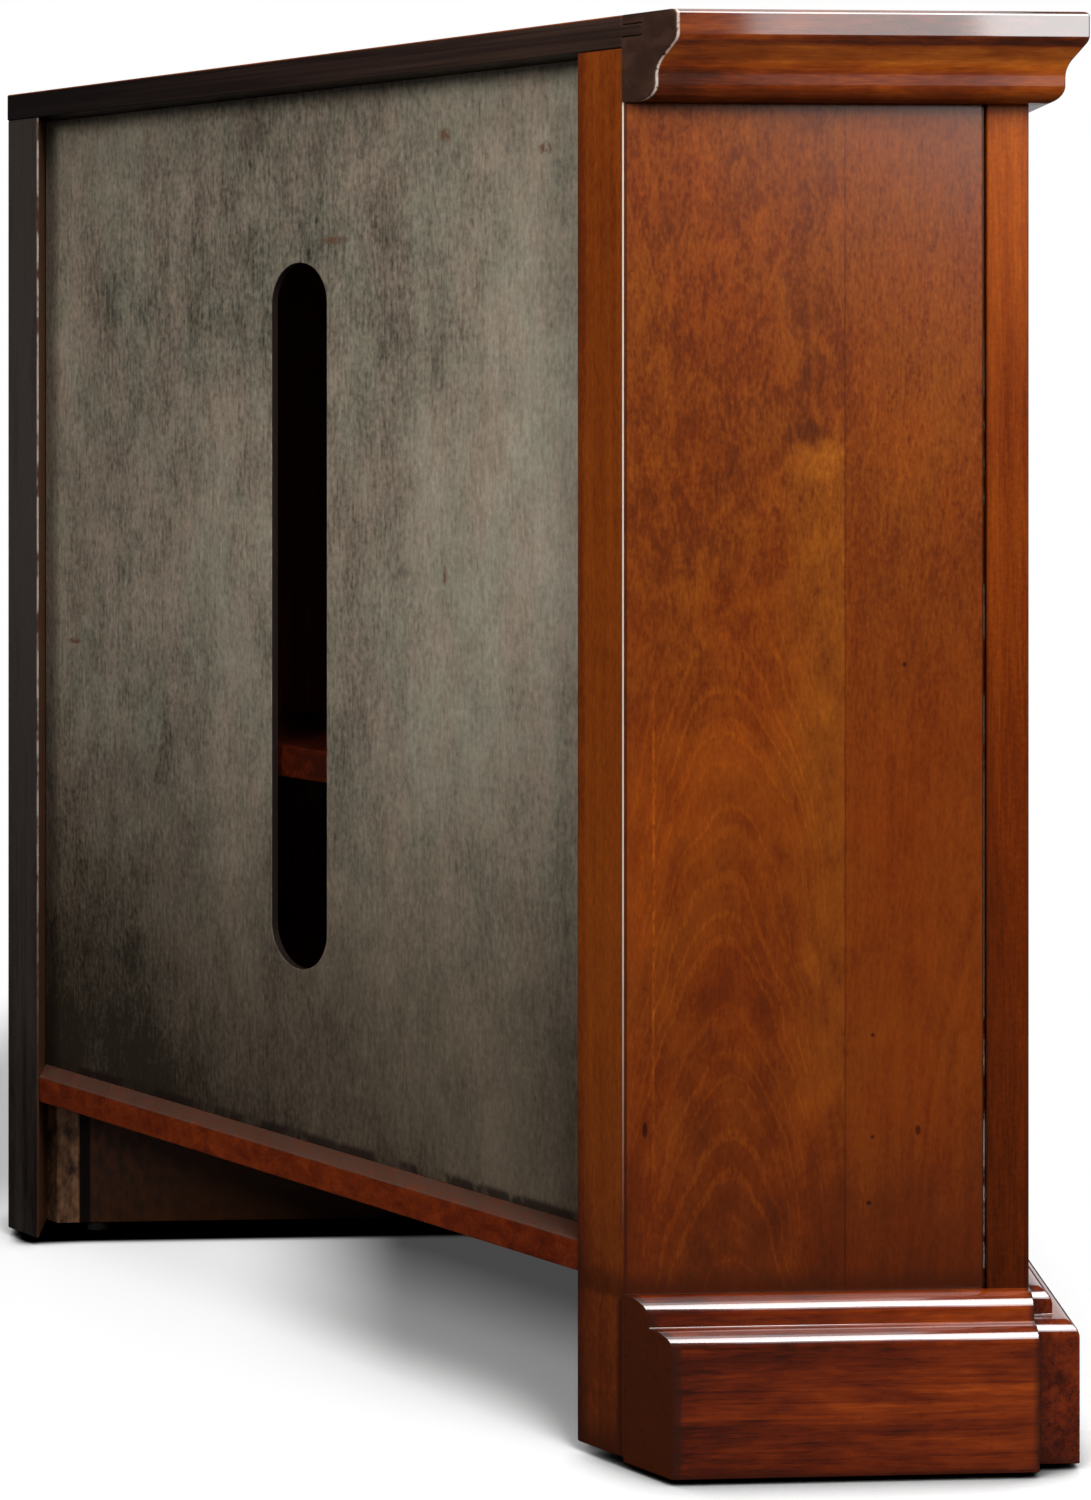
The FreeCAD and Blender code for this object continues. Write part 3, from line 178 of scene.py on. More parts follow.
class Socket:
    """An output of a node; arithmetic on it adds Math nodes to the same tree."""

    def __init__(self, finish, output):
        self.finish = finish
        self.output = output

    def __add__(self, other):
        return self.finish.math("ADD", self, other)

    __radd__ = __add__

    def __sub__(self, other):
        return self.finish.math("SUBTRACT", self, other)

    def __rsub__(self, other):
        return self.finish.math("SUBTRACT", other, self)

    def __mul__(self, other):
        return self.finish.math("MULTIPLY", self, other)

    __rmul__ = __mul__

    def __truediv__(self, other):
        return self.finish.math("DIVIDE", self, other)

    def __rtruediv__(self, other):
        return self.finish.math("DIVIDE", other, self)

    def __abs__(self):
        return self.finish.math("ABSOLUTE", self)

    def swing(self, amount):
        """Noise about its middle: half an amount either way."""
        return (self - 0.5) * amount

    def most(self, other):
        """The larger of two numbers."""
        return self.finish.math("MAXIMUM", self, other)

    def step(self, low, high):
        """A smooth step from 0 at low to 1 at high; low may be the larger number."""
        return self.finish.node(
            "ShaderNodeMapRange",
            {"interpolation_type": "SMOOTHSTEP"},
            {"Value": self, "From Min": low, "From Max": high},
        )


class Finish:
    """A node tree under construction, of a material or of the world."""

    def __init__(self, owner):
        owner.use_nodes = True
        self.owner = owner
        self.tree = owner.node_tree
        self.tree.nodes.clear()

    def node(self, kind, settings=None, inputs=None, output=0):
        """Adds a node: its settings first, then the values or links of its sockets."""
        made = self.tree.nodes.new(kind)
        for name, setting in (settings or {}).items():
            setattr(made, name, setting)
        for name, given in (inputs or {}).items():
            if isinstance(given, Socket):
                self.tree.links.new(given.output, made.inputs[name])
            else:
                made.inputs[name].default_value = given
        return Socket(self, made.outputs[output]) if made.outputs else made

    def math(self, operation, *values):
        """A Math node."""
        return self.node("ShaderNodeMath", {"operation": operation}, dict(enumerate(values)))

    def mix(self, share, first, second, blend="MIX"):
        """One colour turned into another by a share from 0 to 1."""
        settings = {"data_type": "RGBA", "blend_type": blend}
        return self.node("ShaderNodeMix", settings, {0: share, 6: first, 7: second}, output=2)

    def stained(self, colours, tint):
        """A colour multiplied by a tint."""
        return self.mix(1.0, colours, tint, "MULTIPLY")

    def tones(self, tone, *stops):
        """A colour for a tone from 0 to 1, blended through evenly spaced colours."""
        last = len(stops) - 1
        blended = stops[0]
        for index, stop in enumerate(stops[1:]):
            inputs = {"Value": tone, "From Min": index / last, "From Max": (index + 1) / last}
            blended = self.mix(self.node("ShaderNodeMapRange", None, inputs), blended, stop)
        return blended

    def place(self, axes="XYZ"):
        """Places on the stand along the named axes, in metres."""
        where = {0: self.node("ShaderNodeTexCoord", output="Object")}
        return [self.node("ShaderNodeSeparateXYZ", None, where, output=axis) for axis in axes]

    def noise(self, stretch, detail=2.0, roughness=0.5, distortion=0.0, shift=(0.0, 0.0, 0.0)):
        """Noise with its own number of features per metre along X, Y and Z."""
        where = self.node("ShaderNodeTexCoord", output="Object")
        mapping = {"Vector": where, "Location": shift, "Scale": stretch}
        scaled = self.node("ShaderNodeMapping", None, mapping)
        return self.node(
            "ShaderNodeTexNoise",
            {"noise_dimensions": "3D"},
            {
                "Vector": scaled,
                "Scale": 1.0,
                "Detail": detail,
                "Roughness": roughness,
                "Distortion": distortion,
            },
        )

    def rings(self, number, detail=1.0):
        """Unevenly spaced bands along a number."""
        inputs = {"W": number, "Scale": 1.0, "Detail": detail}
        return self.node("ShaderNodeTexNoise", {"noise_dimensions": "1D"}, inputs)

    def blot(self, across, up, centre, size):
        """1 in the middle of an oval mark and 0 outside it."""
        wide = (across - centre[0]) / size[0]
        tall = (up - centre[1]) / size[1]
        return (wide * wide + tall * tall).step(1.0, 0.1)

    def bump(self, height, strength, distance):
        """A normal from a height."""
        return self.node(
            "ShaderNodeBump", None, {"Height": height, "Strength": strength, "Distance": distance}
        )

    def surface(self, **sockets):
        """The Principled surface, named by its sockets, and the material's output."""
        named = {name.replace("_", " "): given for name, given in sockets.items()}
        shader = self.node("ShaderNodeBsdfPrincipled", None, named)
        self.node("ShaderNodeOutputMaterial", None, {"Surface": shader})
        return self.owner


def rgba(chosen):
    """A colour property as a socket value."""
    return (chosen[0], chosen[1], chosen[2], 1.0)


def palette():
    """The stand's colours, by name."""
    colours = bpy.context.scene.stand_colours
    return {name: rgba(getattr(colours, name)) for name in StandColours.__annotations__}


def begun(name):
    """A new finish and the stand's colours."""
    return Finish(bpy.data.materials.new(f"{name}_finish")), palette()


def cherry(finish, c, tone):
    """Stained cherry, from its darkest streaks at 0 to its palest wood at 1."""
    return finish.tones(tone, c["umber"], c["russet"], c["amber"], c["gold"])


def along_grain(grain, across, along):
    """A stretch for noise: few features along the grain's axis, many across it."""
    return tuple(along if axis == grain else across for axis in "XYZ")


# Places on the veneered side panel, in metres.
LEAF_JOINT = -0.1751
SIDE_CORNER = -0.0655
SIDE_FRONT = -0.2455
ARCH_MIDDLE = -0.116
KNOT = (-0.1605, 0.506)
NICKS = (
    ((-0.1889, 0.2104), (0.0013, 0.0013)),
    ((-0.1887, 0.1603), (0.0013, 0.0013)),
    ((-0.1869, 0.1279), (0.0015, 0.0015)),
    ((-0.2112, 0.1634), (0.0018, 0.003)),
    ((-0.0765, 0.1654), (0.0016, 0.005)),
    ((-0.2045, 0.3925), (0.0012, 0.0016)),
)

# |X| + Y on the planes behind, at 45 degrees: where boards and mouldings are cut, and the back
# panels' outer faces.
REAR_CUT = 0.5455
PANEL_FACE = 0.5172

# Y of the centre back panel's outer face, of the partitions' rear strip that is painted paler below
# the bottom boards, of the back posts' inner face, and of the joint between side and front base;
# |X| of the back posts' corner.
CENTRE_FACE = 0.268
REAR_STRIP = 0.2465
POST_FACE = 0.268
BASE_JOINT = -0.267
POST_CORNER = 0.2775

# Z of the bottom boards' two faces, of the crown's flat band and of its bead.
BOTTOM_TOP = 0.105
BOTTOM_FOOT = 0.089
FASCIA_FOOT = 0.694
BEAD_TOP = 0.686

# Tints laid over a finish by multiplying, and second tones of finishes.
RUDDY = (1.03, 0.9, 0.8, 1.0)
OLIVE = (0.96, 1.13, 1.1, 1.0)
SAGE = (0.94, 0.99, 0.95, 1.0)
ROSE = (1.06, 0.985, 0.95, 1.0)
TAN = (1.04, 0.92, 0.8, 1.0)
RED_STAIN = (1.0, 0.62, 0.42, 1.0)
BROWN_STAIN = (1.0, 0.95, 0.9, 1.0)
HONEY = (1.0, 0.85, 0.6, 1.0)
NEAR_BLACK = (0.002, 0.0012, 0.001, 1.0)
CLEAR_GLASS = (0.62, 0.54, 0.45, 1.0)
PATINA = (0.05, 0.028, 0.018, 1.0)
DULL_ZINC = (0.33, 0.32, 0.3, 1.0)
SCUFFED = (0.04, 0.036, 0.033, 1.0)
BLACK = (0.0, 0.0, 0.0, 1.0)
WHITE = (1.0, 1.0, 1.0, 1.0)

# Brown marks on the plywood, as (Y, Z) and half sizes.
PLY_MARKS = (
    ((0.0202, 0.6633), (0.004, 0.005)),
    ((-0.0306, 0.6517), (0.0045, 0.0045)),
    ((0.0807, 0.6107), (0.01, 0.0028)),
    ((0.2466, 0.3726), (0.006, 0.0025)),
    ((0.1818, 0.4471), (0.0012, 0.006)),
    ((0.0202, 0.4289), (0.0012, 0.007)),
)


def veneer_finish():
    """Cherry veneer in two leaves: arched figure on the rear one, plainer wood on the front."""
    finish, c = begun("cherry_veneer")
    y, z = finish.place("YZ")
    rear_leaf = y.step(LEAF_JOINT - 0.0002, LEAF_JOINT + 0.0002)
    cloud = finish.noise((9.0, 9.0, 5.0), detail=4.0, distortion=0.4)
    mottle = finish.noise((62.0, 62.0, 36.0), detail=4.0, roughness=0.6)
    warmth = finish.noise((30.0, 30.0, 17.0), detail=4.0, roughness=0.6, shift=(4.0, 2.0, 6.0))
    fleck = finish.noise((640.0, 640.0, 200.0), detail=2.0, roughness=0.6)
    pore = finish.noise((330.0, 330.0, 60.0), detail=3.0, roughness=0.6)
    grit = finish.noise((430.0, 430.0, 330.0), detail=2.0, roughness=0.6)
    curl = finish.noise((120.0, 120.0, 52.0), detail=5.0, roughness=0.62, distortion=1.1)
    streak = finish.noise((190.0, 190.0, 3.5), detail=4.0)
    wander = finish.noise((16.0, 16.0, 9.0), detail=3.0)

    across = y - ARCH_MIDDLE + wander.swing(0.034)
    arch = z + across * across * 62.0 + mottle.swing(0.008)
    arch_lines = finish.rings(arch * 95.0, detail=2.0).step(0.5, 0.68)
    arch_bands = finish.rings(arch * 22.0, detail=1.0)
    lower = z.step(0.47, 0.36)
    figured = lower * abs(across).step(0.062, 0.026) * fleck.step(0.2, 0.6)
    upper = z.step(0.3, 0.5)
    rear_figure = figured * arch_lines * 0.115 + arch_bands.swing(0.18 - upper * 0.14)
    front_across = y + 0.262 + wander.swing(0.02)
    front_arch = finish.rings((z * 0.35 + front_across * front_across * 26.0) * 130.0, detail=1.0)
    front_figure = front_arch.swing(0.1) + streak.swing(0.12) + 0.02

    gilded = rear_leaf * y.step(-0.134, -0.168) * z.step(0.525, 0.47) * z.step(0.1, 0.3)
    # Darker towards the bottom: partly the stain, partly painted shade.
    tone = 0.23 + z.step(0.08, 0.2) * 0.2 + z.step(0.1, 0.62) * 0.12 - z.step(0.3, 0.48) * 0.1
    tone = tone + gilded * (mottle * 0.16 + 0.01)
    tone = tone + rear_leaf * rear_figure + (1.0 - rear_leaf) * front_figure
    tone = tone - y.step(-0.15, -0.08) * z.step(0.28, 0.42) * 0.06
    lively = rear_leaf * 0.5 + 0.5
    tone = tone + cloud.swing(0.5) + mottle.swing(0.55) * (lively - upper * 0.2)
    coarse = fleck.swing(0.45) + pore.swing(0.18) + grit.swing(0.3)
    tone = tone + coarse * (upper * 0.5 + 0.5) + (curl - 0.46) * (upper * 0.5 + 0.12) * lively

    drift = y + mottle.swing(0.014)
    rise = z + warmth.swing(0.01)
    knot_shade = finish.blot(drift, rise, (KNOT[0] + 0.005, KNOT[1] + 0.001), (0.016, 0.007))
    knot_cloud = finish.blot(drift, rise, (KNOT[0] - 0.003, KNOT[1] + 0.014), (0.026, 0.022))
    knot_glow = finish.blot(drift, rise, (KNOT[0] + 0.001, KNOT[1] - 0.012), (0.017, 0.013))
    knot_eye = finish.blot(drift, rise, (KNOT[0], KNOT[1] - 0.006), (0.004, 0.0035))
    tone = tone + knot_glow * 0.17 - knot_shade * 0.1 - knot_cloud * 0.05 - knot_eye * 0.08
    thread = abs(y + 0.0808 + wander.swing(0.003)).step(0.0012, 0.0)
    tone = tone + thread * fleck.step(0.3, 0.6) * z.step(0.4, 0.36) * z.step(0.1, 0.2) * 0.24
    joint_line = abs(y - LEAF_JOINT).step(0.0007, 0.0002)
    tone = tone - joint_line * 0.14
    for centre, size in NICKS:
        tone = tone - finish.blot(y, z, centre, size) * 0.4
    leaf_colour = cherry(finish, c, tone)
    # Yellower towards the top and ruddier below: partly the stain, partly painted light.
    tint = finish.mix(warmth.step(0.3, 0.7) * 0.5 + upper * 0.4 + gilded * 0.6, RUDDY, OLIVE)
    leaf_colour = finish.stained(leaf_colour, tint)

    edge_streak = finish.noise((240.0, 240.0, 5.0), detail=4.0)
    # The bevel is darker at its foot and under the crown: painted shade.
    edge_tone = 0.35 + z.step(0.02, 0.2) * 0.17 - z.step(0.4, 0.66) * 0.08
    edge_tone = edge_tone + edge_streak.swing(0.4) + fleck.swing(0.4)
    edge_tone = edge_tone + cloud.swing(0.5) + mottle.swing(0.3)
    edge_tone = edge_tone - y.step(-0.05, -0.0445) * 0.22
    edge_colour = cherry(finish, c, edge_tone)
    edge = y.step(SIDE_CORNER - 0.0001, SIDE_CORNER + 0.0002)
    colours = finish.mix(edge, leaf_colour, edge_colour)
    # A dark joint line beside the corner, and a dark line at the front edge: painted shade in the
    # groove beside the face frame.
    seam_and_groove_shade = abs(y - SIDE_CORNER + 0.0014).step(0.0011, 0.0004) * 0.8
    seam_and_groove_shade = seam_and_groove_shade.most(abs(y - SIDE_FRONT).step(0.0021, 0.0012) * 0.85)
    # Darker just above the base, at the foot of the bevel and at its joint with the base: painted
    # shade in these corners.
    above_base = z.step(0.1, 0.086) * z.step(0.08, 0.085)
    panel_corner_shade = (edge * z.step(0.026, 0.006) * 0.7).most(above_base * 0.6)
    beside_base = y.step(SIDE_CORNER + 0.0034, SIDE_CORNER + 0.001) * z.step(0.09, 0.08)
    panel_corner_shade = panel_corner_shade.most(edge * beside_base * streak.step(0.3, 0.5) * 0.9)
    colours = finish.mix(seam_and_groove_shade.most(panel_corner_shade), colours, c["umber"])
    # Pale lines along the corner and, in places, along the front edge: painted highlights of eased
    # edges catching the light.
    rubbed = abs(y - SIDE_CORNER + 0.0002).step(0.0005, 0.0002) * z.step(0.1, 0.3)
    front_edge_highlight = abs(y - SIDE_FRONT - 0.0006).step(0.0007, 0.0003) * mottle.step(0.45, 0.55)
    front_edge_highlight = front_edge_highlight * (z.step(0.24, 0.16) * 0.6 + z.step(0.57, 0.5) * 0.14)
    colours = finish.mix((rubbed * 0.8).most(front_edge_highlight), colours, c["rubbed"])
    return finish.surface(
        Base_Color=colours,
        Roughness=0.24 + grit.swing(0.08),
        Specular_IOR_Level=0.3,
        Normal=finish.bump(fleck * 0.8 + grit * 0.2, 0.03, 0.00025),
    )


def solid_finish(name, grain):
    """Stained solid cherry with its grain along one axis."""
    finish, c = begun(name)
    (z,) = finish.place("Z")
    streak = finish.noise(along_grain(grain, 130.0, 4.0), detail=5.0, distortion=0.4)
    fibre = finish.noise(along_grain(grain, 950.0, 60.0), detail=2.0)
    crackle = finish.noise((480.0, 480.0, 480.0), detail=3.0)
    cloud = finish.noise((12.0, 12.0, 7.0), detail=3.0)
    # Lighter towards the top: partly the stain, partly painted light falling from above.
    tone = 0.07 + z.step(0.0, 0.85) * 0.69
    tone = tone + streak.swing(0.45) + cloud.swing(0.55)
    tone = tone + fibre.swing(0.4) + crackle.swing(0.3)
    colours = cherry(finish, c, tone)
    colours = finish.stained(colours, HONEY)
    return finish.surface(
        Base_Color=colours,
        Roughness=0.3 + streak.swing(0.12),
        Specular_IOR_Level=0.08,
        Normal=finish.bump(fibre * 0.5 + crackle * 0.5, 0.2, 0.0004),
    )


def moulding_finish(name, grain):
    """Glossy cherry moulding, streaked along its run, with dark end grain, a dark line along the
    base's cut arris, a painted highlight along the crown's, and painted shade in its corners.
    """
    finish, c = begun(name)
    x, y, z = finish.place()
    streak = finish.noise(along_grain(grain, 230.0, 6.0), detail=5.0, roughness=0.6, distortion=0.6)
    broad = finish.noise(along_grain(grain, 60.0, 2.5), detail=3.0, distortion=0.4)
    cloud = finish.noise(along_grain(grain, 85.0, 24.0), detail=4.0, roughness=0.6)
    lines = finish.noise(along_grain(grain, 620.0, 14.0), detail=2.0).step(0.56, 0.72)
    fibre = finish.noise(along_grain(grain, 950.0, 80.0), detail=2.0)
    crackle = finish.noise((430.0, 430.0, 430.0), detail=3.0)
    crown = z.step(0.3, 0.5)
    fascia = z.step(FASCIA_FOOT - 0.001, FASCIA_FOOT + 0.001)
    bead = z.step(BEAD_TOP + 0.001, BEAD_TOP - 0.005) * crown
    # The crown is lighter than the base, partly its stain and partly painted light from above; the
    # bead under the crown and the foot of the base are darker, a painted shade.
    tone = 0.51 + crown * 0.2 - fascia * 0.42 - bead * 0.36 - z.step(0.026, 0.003) * 0.16
    tone = tone + streak.swing(0.95 - crown * 0.65) + broad.swing(0.6 - crown * 0.3)
    tone = tone + cloud.swing(1.05)
    tone = tone + fibre.swing(0.5) - lines * (0.12 - crown * 0.08)
    if grain == "X":
        tone = tone - (1.0 - crown) * 0.12
    else:
        # Along the side mouldings the tone falls towards the rear, and on the flat band towards the
        # front: painted shading along the run.
        tone = tone - (y + 0.18) * (1.5 - fascia * 3.4) - y.step(-0.118, -0.092) * 0.08
    colours = cherry(finish, c, tone)
    colours = finish.stained(colours, finish.mix(crown, RED_STAIN, BROWN_STAIN))
    end_grain = (abs(x) + y).step(REAR_CUT - 0.0008, REAR_CUT - 0.0003)
    base_end = finish.mix(0.75 + crackle.swing(0.9), c["umber"], c["russet"])
    crown_end = finish.mix(crackle * 0.3, c["rear_brown"], c["ply_brown"])
    crown_end = finish.mix(cloud.step(0.36, 0.62) * 0.55, crown_end, c["rear_dark"])
    colours = finish.mix(end_grain, colours, finish.mix(crown, base_end, crown_end))
    # Along the cut arris: a dark line on the base, and on the crown a pale line that is a painted
    # highlight.
    arris = abs(abs(x) + y - REAR_CUT + 0.0009).step(0.001, 0.0003)
    arris_colour = finish.mix(crown, c["umber"], c["rubbed"])
    colours = finish.mix(arris * crackle.step(0.3, 0.5) * (0.85 - crown * 0.35), colours, arris_colour)
    # Darker at the mitre between side and front base, along the foot and beside the cut end:
    # painted shade in these corners, over a dark joint at the mitre.
    rear_line = abs(abs(x) + y - REAR_CUT + 0.0022).step(0.0036, 0.001)
    base_corner_shade = abs(y - BASE_JOINT).step(0.0045, 0.0008).most(z.step(0.009, 0.001)).most(rear_line)
    base_corner_shade = base_corner_shade * (1.0 - crown)
    colours = finish.mix(base_corner_shade * (0.5 + broad * 0.5), colours, c["umber"])
    return finish.surface(
        Base_Color=colours,
        Roughness=0.3 + crackle.swing(0.16),
        Specular_IOR_Level=0.1,
        Coat_Weight=1.0 - end_grain * 0.8 - crown * (1.0 - fascia) * 0.45 - bead * 0.5,
        Coat_IOR=1.9,
        Coat_Roughness=0.08,
        Normal=finish.bump(crackle * 0.5 + fibre * 0.5, 0.12, 0.0005),
    )


def top_finish():
    """Cherry veneer on the top, and its dark-stained edges."""
    finish, c = begun("top_veneer")
    y, z = finish.place("YZ")
    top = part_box("top_panel")[1].z
    streak = finish.noise((3.0, 90.0, 90.0), detail=4.0, distortion=0.6)
    cloud = finish.noise((6.0, 9.0, 9.0), detail=2.0)
    fibre = finish.noise((40.0, 800.0, 800.0), detail=2.0)
    tone = 0.52 + streak.swing(0.7) + cloud.swing(0.4) + fibre.swing(0.2)
    face = cherry(finish, c, tone)
    lines = finish.noise((6.0, 6.0, 420.0), detail=3.0)
    # The rear edge darkens towards its far end, near black at the last.
    edge_tone = 0.4 + lines.swing(2.2) - (y - 0.02) * 1.7
    edge = finish.mix(edge_tone, c["rear_dark"], c["rear_brown"])
    edge = finish.mix(y.step(0.02, 0.28) * 0.65, edge, NEAR_BLACK)
    colours = finish.mix(z.step(top - 0.0011, top - 0.0004), edge, face)
    return finish.surface(
        Base_Color=colours,
        Roughness=0.46 + streak.swing(0.14),
        Specular_IOR_Level=0.15,
        Normal=finish.bump(fibre, 0.08, 0.0004),
    )


def board_finish(name, grain, depth):
    """Stained boards of the carcass, shelves and partitions; a greater depth is a paler stain."""
    finish, c = begun(name)
    x, y, z = finish.place()
    streak = finish.noise(along_grain(grain, 130.0, 4.0), detail=4.0, distortion=0.4)
    fibre = finish.noise(along_grain(grain, 700.0, 35.0), detail=2.0)
    cloud = finish.noise((8.0, 8.0, 8.0), detail=3.0)
    patch = finish.noise((160.0, 160.0, 90.0), detail=4.0, roughness=0.65)
    behind = abs(x) + y
    tone = depth + streak.swing(0.8) + cloud.swing(0.4) + fibre.swing(0.5)
    # Darker near the back panels, deep inside the stand: painted shade.
    tone = tone - behind.step(0.42, 0.48) * behind.step(0.5042, 0.503) * 0.13
    colours = cherry(finish, c, tone)
    colours = finish.stained(colours, RED_STAIN)
    # The ledge behind the back panels is paler and greyer: dust, with a painted sheen of light
    # grazing it.
    ledge = behind.step(PANEL_FACE - 0.001, PANEL_FACE)
    ledge = ledge * z.step(BOTTOM_TOP - 0.0012, BOTTOM_TOP - 0.0006)
    colours = finish.mix(ledge * (patch.step(0.3, 0.6) * 0.4 + 0.5), colours, c["ledge"])
    # Below the bottom boards the partitions are darker, a painted shade; their rear strip is bare
    # wood brightened as a painted patch of light, with a dark band beside it that is a painted
    # shadow.
    raw = finish.mix(patch.step(0.3, 0.7), c["rear_brown"], c["ply_brown"])
    raw = finish.mix(y.step(0.24, 0.12) * 0.8, raw, c["ply_brown"])
    strip = finish.mix(patch.step(0.25, 0.8), c["rear_brown"], c["raw_tan"])
    raw = finish.mix(y.step(REAR_STRIP - 0.0005, REAR_STRIP + 0.0005), raw, strip)
    raw = finish.mix(abs(y - REAR_STRIP + 0.003).step(0.0045, 0.0025), raw, c["rear_dark"])
    colours = finish.mix(z.step(BOTTOM_FOOT + 0.0004, BOTTOM_FOOT - 0.0004), colours, raw)
    return finish.surface(
        Base_Color=colours,
        Roughness=0.42 + streak.swing(0.14),
        Specular_IOR_Level=0.2,
        Normal=finish.bump(fibre, 0.12, 0.0004),
    )


def rear_finish():
    """Dark stain on the back posts."""
    finish, c = begun("rear_wood")
    x, y, z = finish.place()
    streak = finish.noise((260.0, 260.0, 5.0), detail=4.0, distortion=0.3)
    fibre = finish.noise((800.0, 800.0, 90.0), detail=2.0)
    cloud = finish.noise((40.0, 40.0, 9.0), detail=4.0, roughness=0.6)
    patch = finish.noise((160.0, 160.0, 70.0), detail=3.0)
    tone = 0.5 + streak.swing(0.9) + cloud.swing(0.9)
    # Darker towards the foot: painted shade.
    tone = tone + fibre.swing(0.5) - z.step(0.3, 0.0) * 0.3
    colours = finish.tones(tone, c["rear_dark"], c["rear_grey"], c["ply_dark"])
    inner = y.step(POST_FACE + 0.0012, POST_FACE + 0.0004)
    inner = inner * abs(x).step(POST_CORNER, POST_CORNER - 0.0008)
    colours = finish.mix(inner * 0.8, colours, c["ply_brown"])
    # A pale line along the inner corner: a painted highlight of the eased edge catching the light.
    rubbed = abs(abs(x) - POST_CORNER + 0.0004).step(0.0011, 0.0005) * patch.step(0.36, 0.55)
    rubbed = rubbed * y.step(POST_FACE + 0.003, POST_FACE + 0.0015)
    colours = finish.mix(rubbed * z.step(0.1, 0.3) * 0.55, colours, c["rubbed"])
    return finish.surface(
        Base_Color=colours,
        Roughness=0.4 + streak.swing(0.2),
        Specular_IOR_Level=0.2,
        Normal=finish.bump(fibre, 0.15, 0.0004),
    )


def plywood_finish():
    """Unfinished grey-brown plywood, with clouds, short fibres, checks and a few knots."""
    finish, c = begun("plywood")
    x, y, z = finish.place()
    cloud = finish.noise((7.0, 7.0, 4.0), detail=4.0, roughness=0.55, distortion=0.4)
    blotch = finish.noise((46.0, 46.0, 26.0), detail=4.0, roughness=0.65)
    brown = finish.noise((30.0, 30.0, 15.0), detail=4.0, roughness=0.65, shift=(3.0, 5.0, 7.0))
    fibre = finish.noise((560.0, 560.0, 85.0), detail=3.0, roughness=0.6)
    grit = finish.noise((400.0, 400.0, 260.0), detail=3.0, roughness=0.6)
    smear = finish.noise((34.0, 34.0, 4.0), detail=5.0, roughness=0.6, distortion=0.3)
    checks = finish.noise((240.0, 240.0, 30.0), detail=2.0).step(0.72, 0.82)
    lively = z.step(0.12, 0.42) * 0.65 + 0.35
    # Darker towards the bottom, towards the far end and at the top, with a dark patch high up:
    # painted shade. Paler beside the far post, low beside the far end of the board and in a patch
    # in the middle: painted light.
    tone = 0.07 + z.step(0.02, 0.46) * 0.4 - (y - 0.08) * 0.5
    tone = tone + y.step(0.235, 0.262) * z.step(0.3, 0.5) * 0.12
    tone = tone + z.step(0.17, 0.115) * y.step(0.27, 0.12) * 0.04 - z.step(0.42, 0.6) * 0.035
    tone = tone - finish.blot(y, z, (0.1, 0.61), (0.13, 0.13)) * 0.1
    tone = tone + finish.blot(y, z, (-0.02, 0.42), (0.09, 0.16)) * 0.12
    tone = tone + cloud.swing(0.5) + (blotch.swing(0.6) + smear.swing(0.3)) * lively
    tone = tone + (fibre.swing(0.55) + grit.swing(0.75)) * lively
    colours = finish.tones(tone, c["ply_dark"], c["ply_grey"], c["ply_pale"])
    tint = finish.mix(brown.step(0.34, 0.66), SAGE, ROSE)
    tint = finish.mix(z.step(0.36, 0.14) * 0.8, tint, TAN)
    colours = finish.stained(colours, tint)
    marks = 0.0
    across, up = y + blotch.swing(0.006), z + grit.swing(0.003)
    for centre, size in PLY_MARKS:
        marks = finish.blot(across, up, centre, size) + marks
    colours = finish.mix(marks * grit.step(0.38, 0.56) * 0.85, colours, c["ply_brown"])
    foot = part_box("back_panel_left")[0].z
    # A ragged dark line along the foot of the panel.
    ragged_foot_line = z.step(foot + 0.007, foot + 0.003) * blotch.step(0.36, 0.52)
    outer = (abs(x) + y).step(PANEL_FACE - 0.001, PANEL_FACE - 0.0004)
    outer = outer.most(y.step(CENTRE_FACE - 0.001, CENTRE_FACE - 0.0004))
    dark = (checks * 0.4).most(ragged_foot_line * 0.85).most(1.0 - outer)
    colours = finish.mix(dark, colours, c["rear_dark"])
    inner = (abs(x) + y).step(PANEL_FACE - 0.0062, PANEL_FACE - 0.0068) * y.step(0.262, 0.26)
    centre_inner = y.step(CENTRE_FACE - 0.0044, CENTRE_FACE - 0.0048)
    inner = inner.most(centre_inner * abs(x).step(0.236, 0.235))
    inside = finish.mix(fibre * 0.6 + cloud * 0.4, c["rear_brown"], c["russet"])
    colours = finish.mix(inner, colours, inside)
    return finish.surface(
        Base_Color=colours,
        Roughness=0.55 + blotch.swing(0.2),
        Specular_IOR_Level=0.25,
        Normal=finish.bump(fibre * 0.5 + grit * 0.5 - checks, 0.55, 0.0007),
    )


def glass_finish():
    """Bronze-tinted door glass, faintly uneven."""
    finish, c = begun("tinted_glass")
    ripple = finish.noise((5.0, 5.0, 5.0), detail=2.0)
    smear = finish.noise((18.0, 18.0, 9.0), detail=3.0)
    return finish.surface(
        Base_Color=finish.mix(ripple, c["glass"], CLEAR_GLASS),
        Roughness=smear * 0.04,
        Transmission_Weight=1.0,
        IOR=1.5,
        Normal=finish.bump(ripple, 0.03, 0.001),
    )


def bronze_finish():
    """Aged bronze, worn paler where it is handled."""
    finish, c = begun("bronze")
    patina = finish.noise((90.0, 90.0, 90.0), detail=4.0)
    grit = finish.noise((700.0, 700.0, 700.0), detail=2.0)
    return finish.surface(
        Base_Color=finish.mix(patina.step(0.35, 0.7), PATINA, c["bronze"]),
        Metallic=1.0,
        Roughness=0.32 + grit.swing(0.25),
        Normal=finish.bump(grit, 0.06, 0.0003),
    )


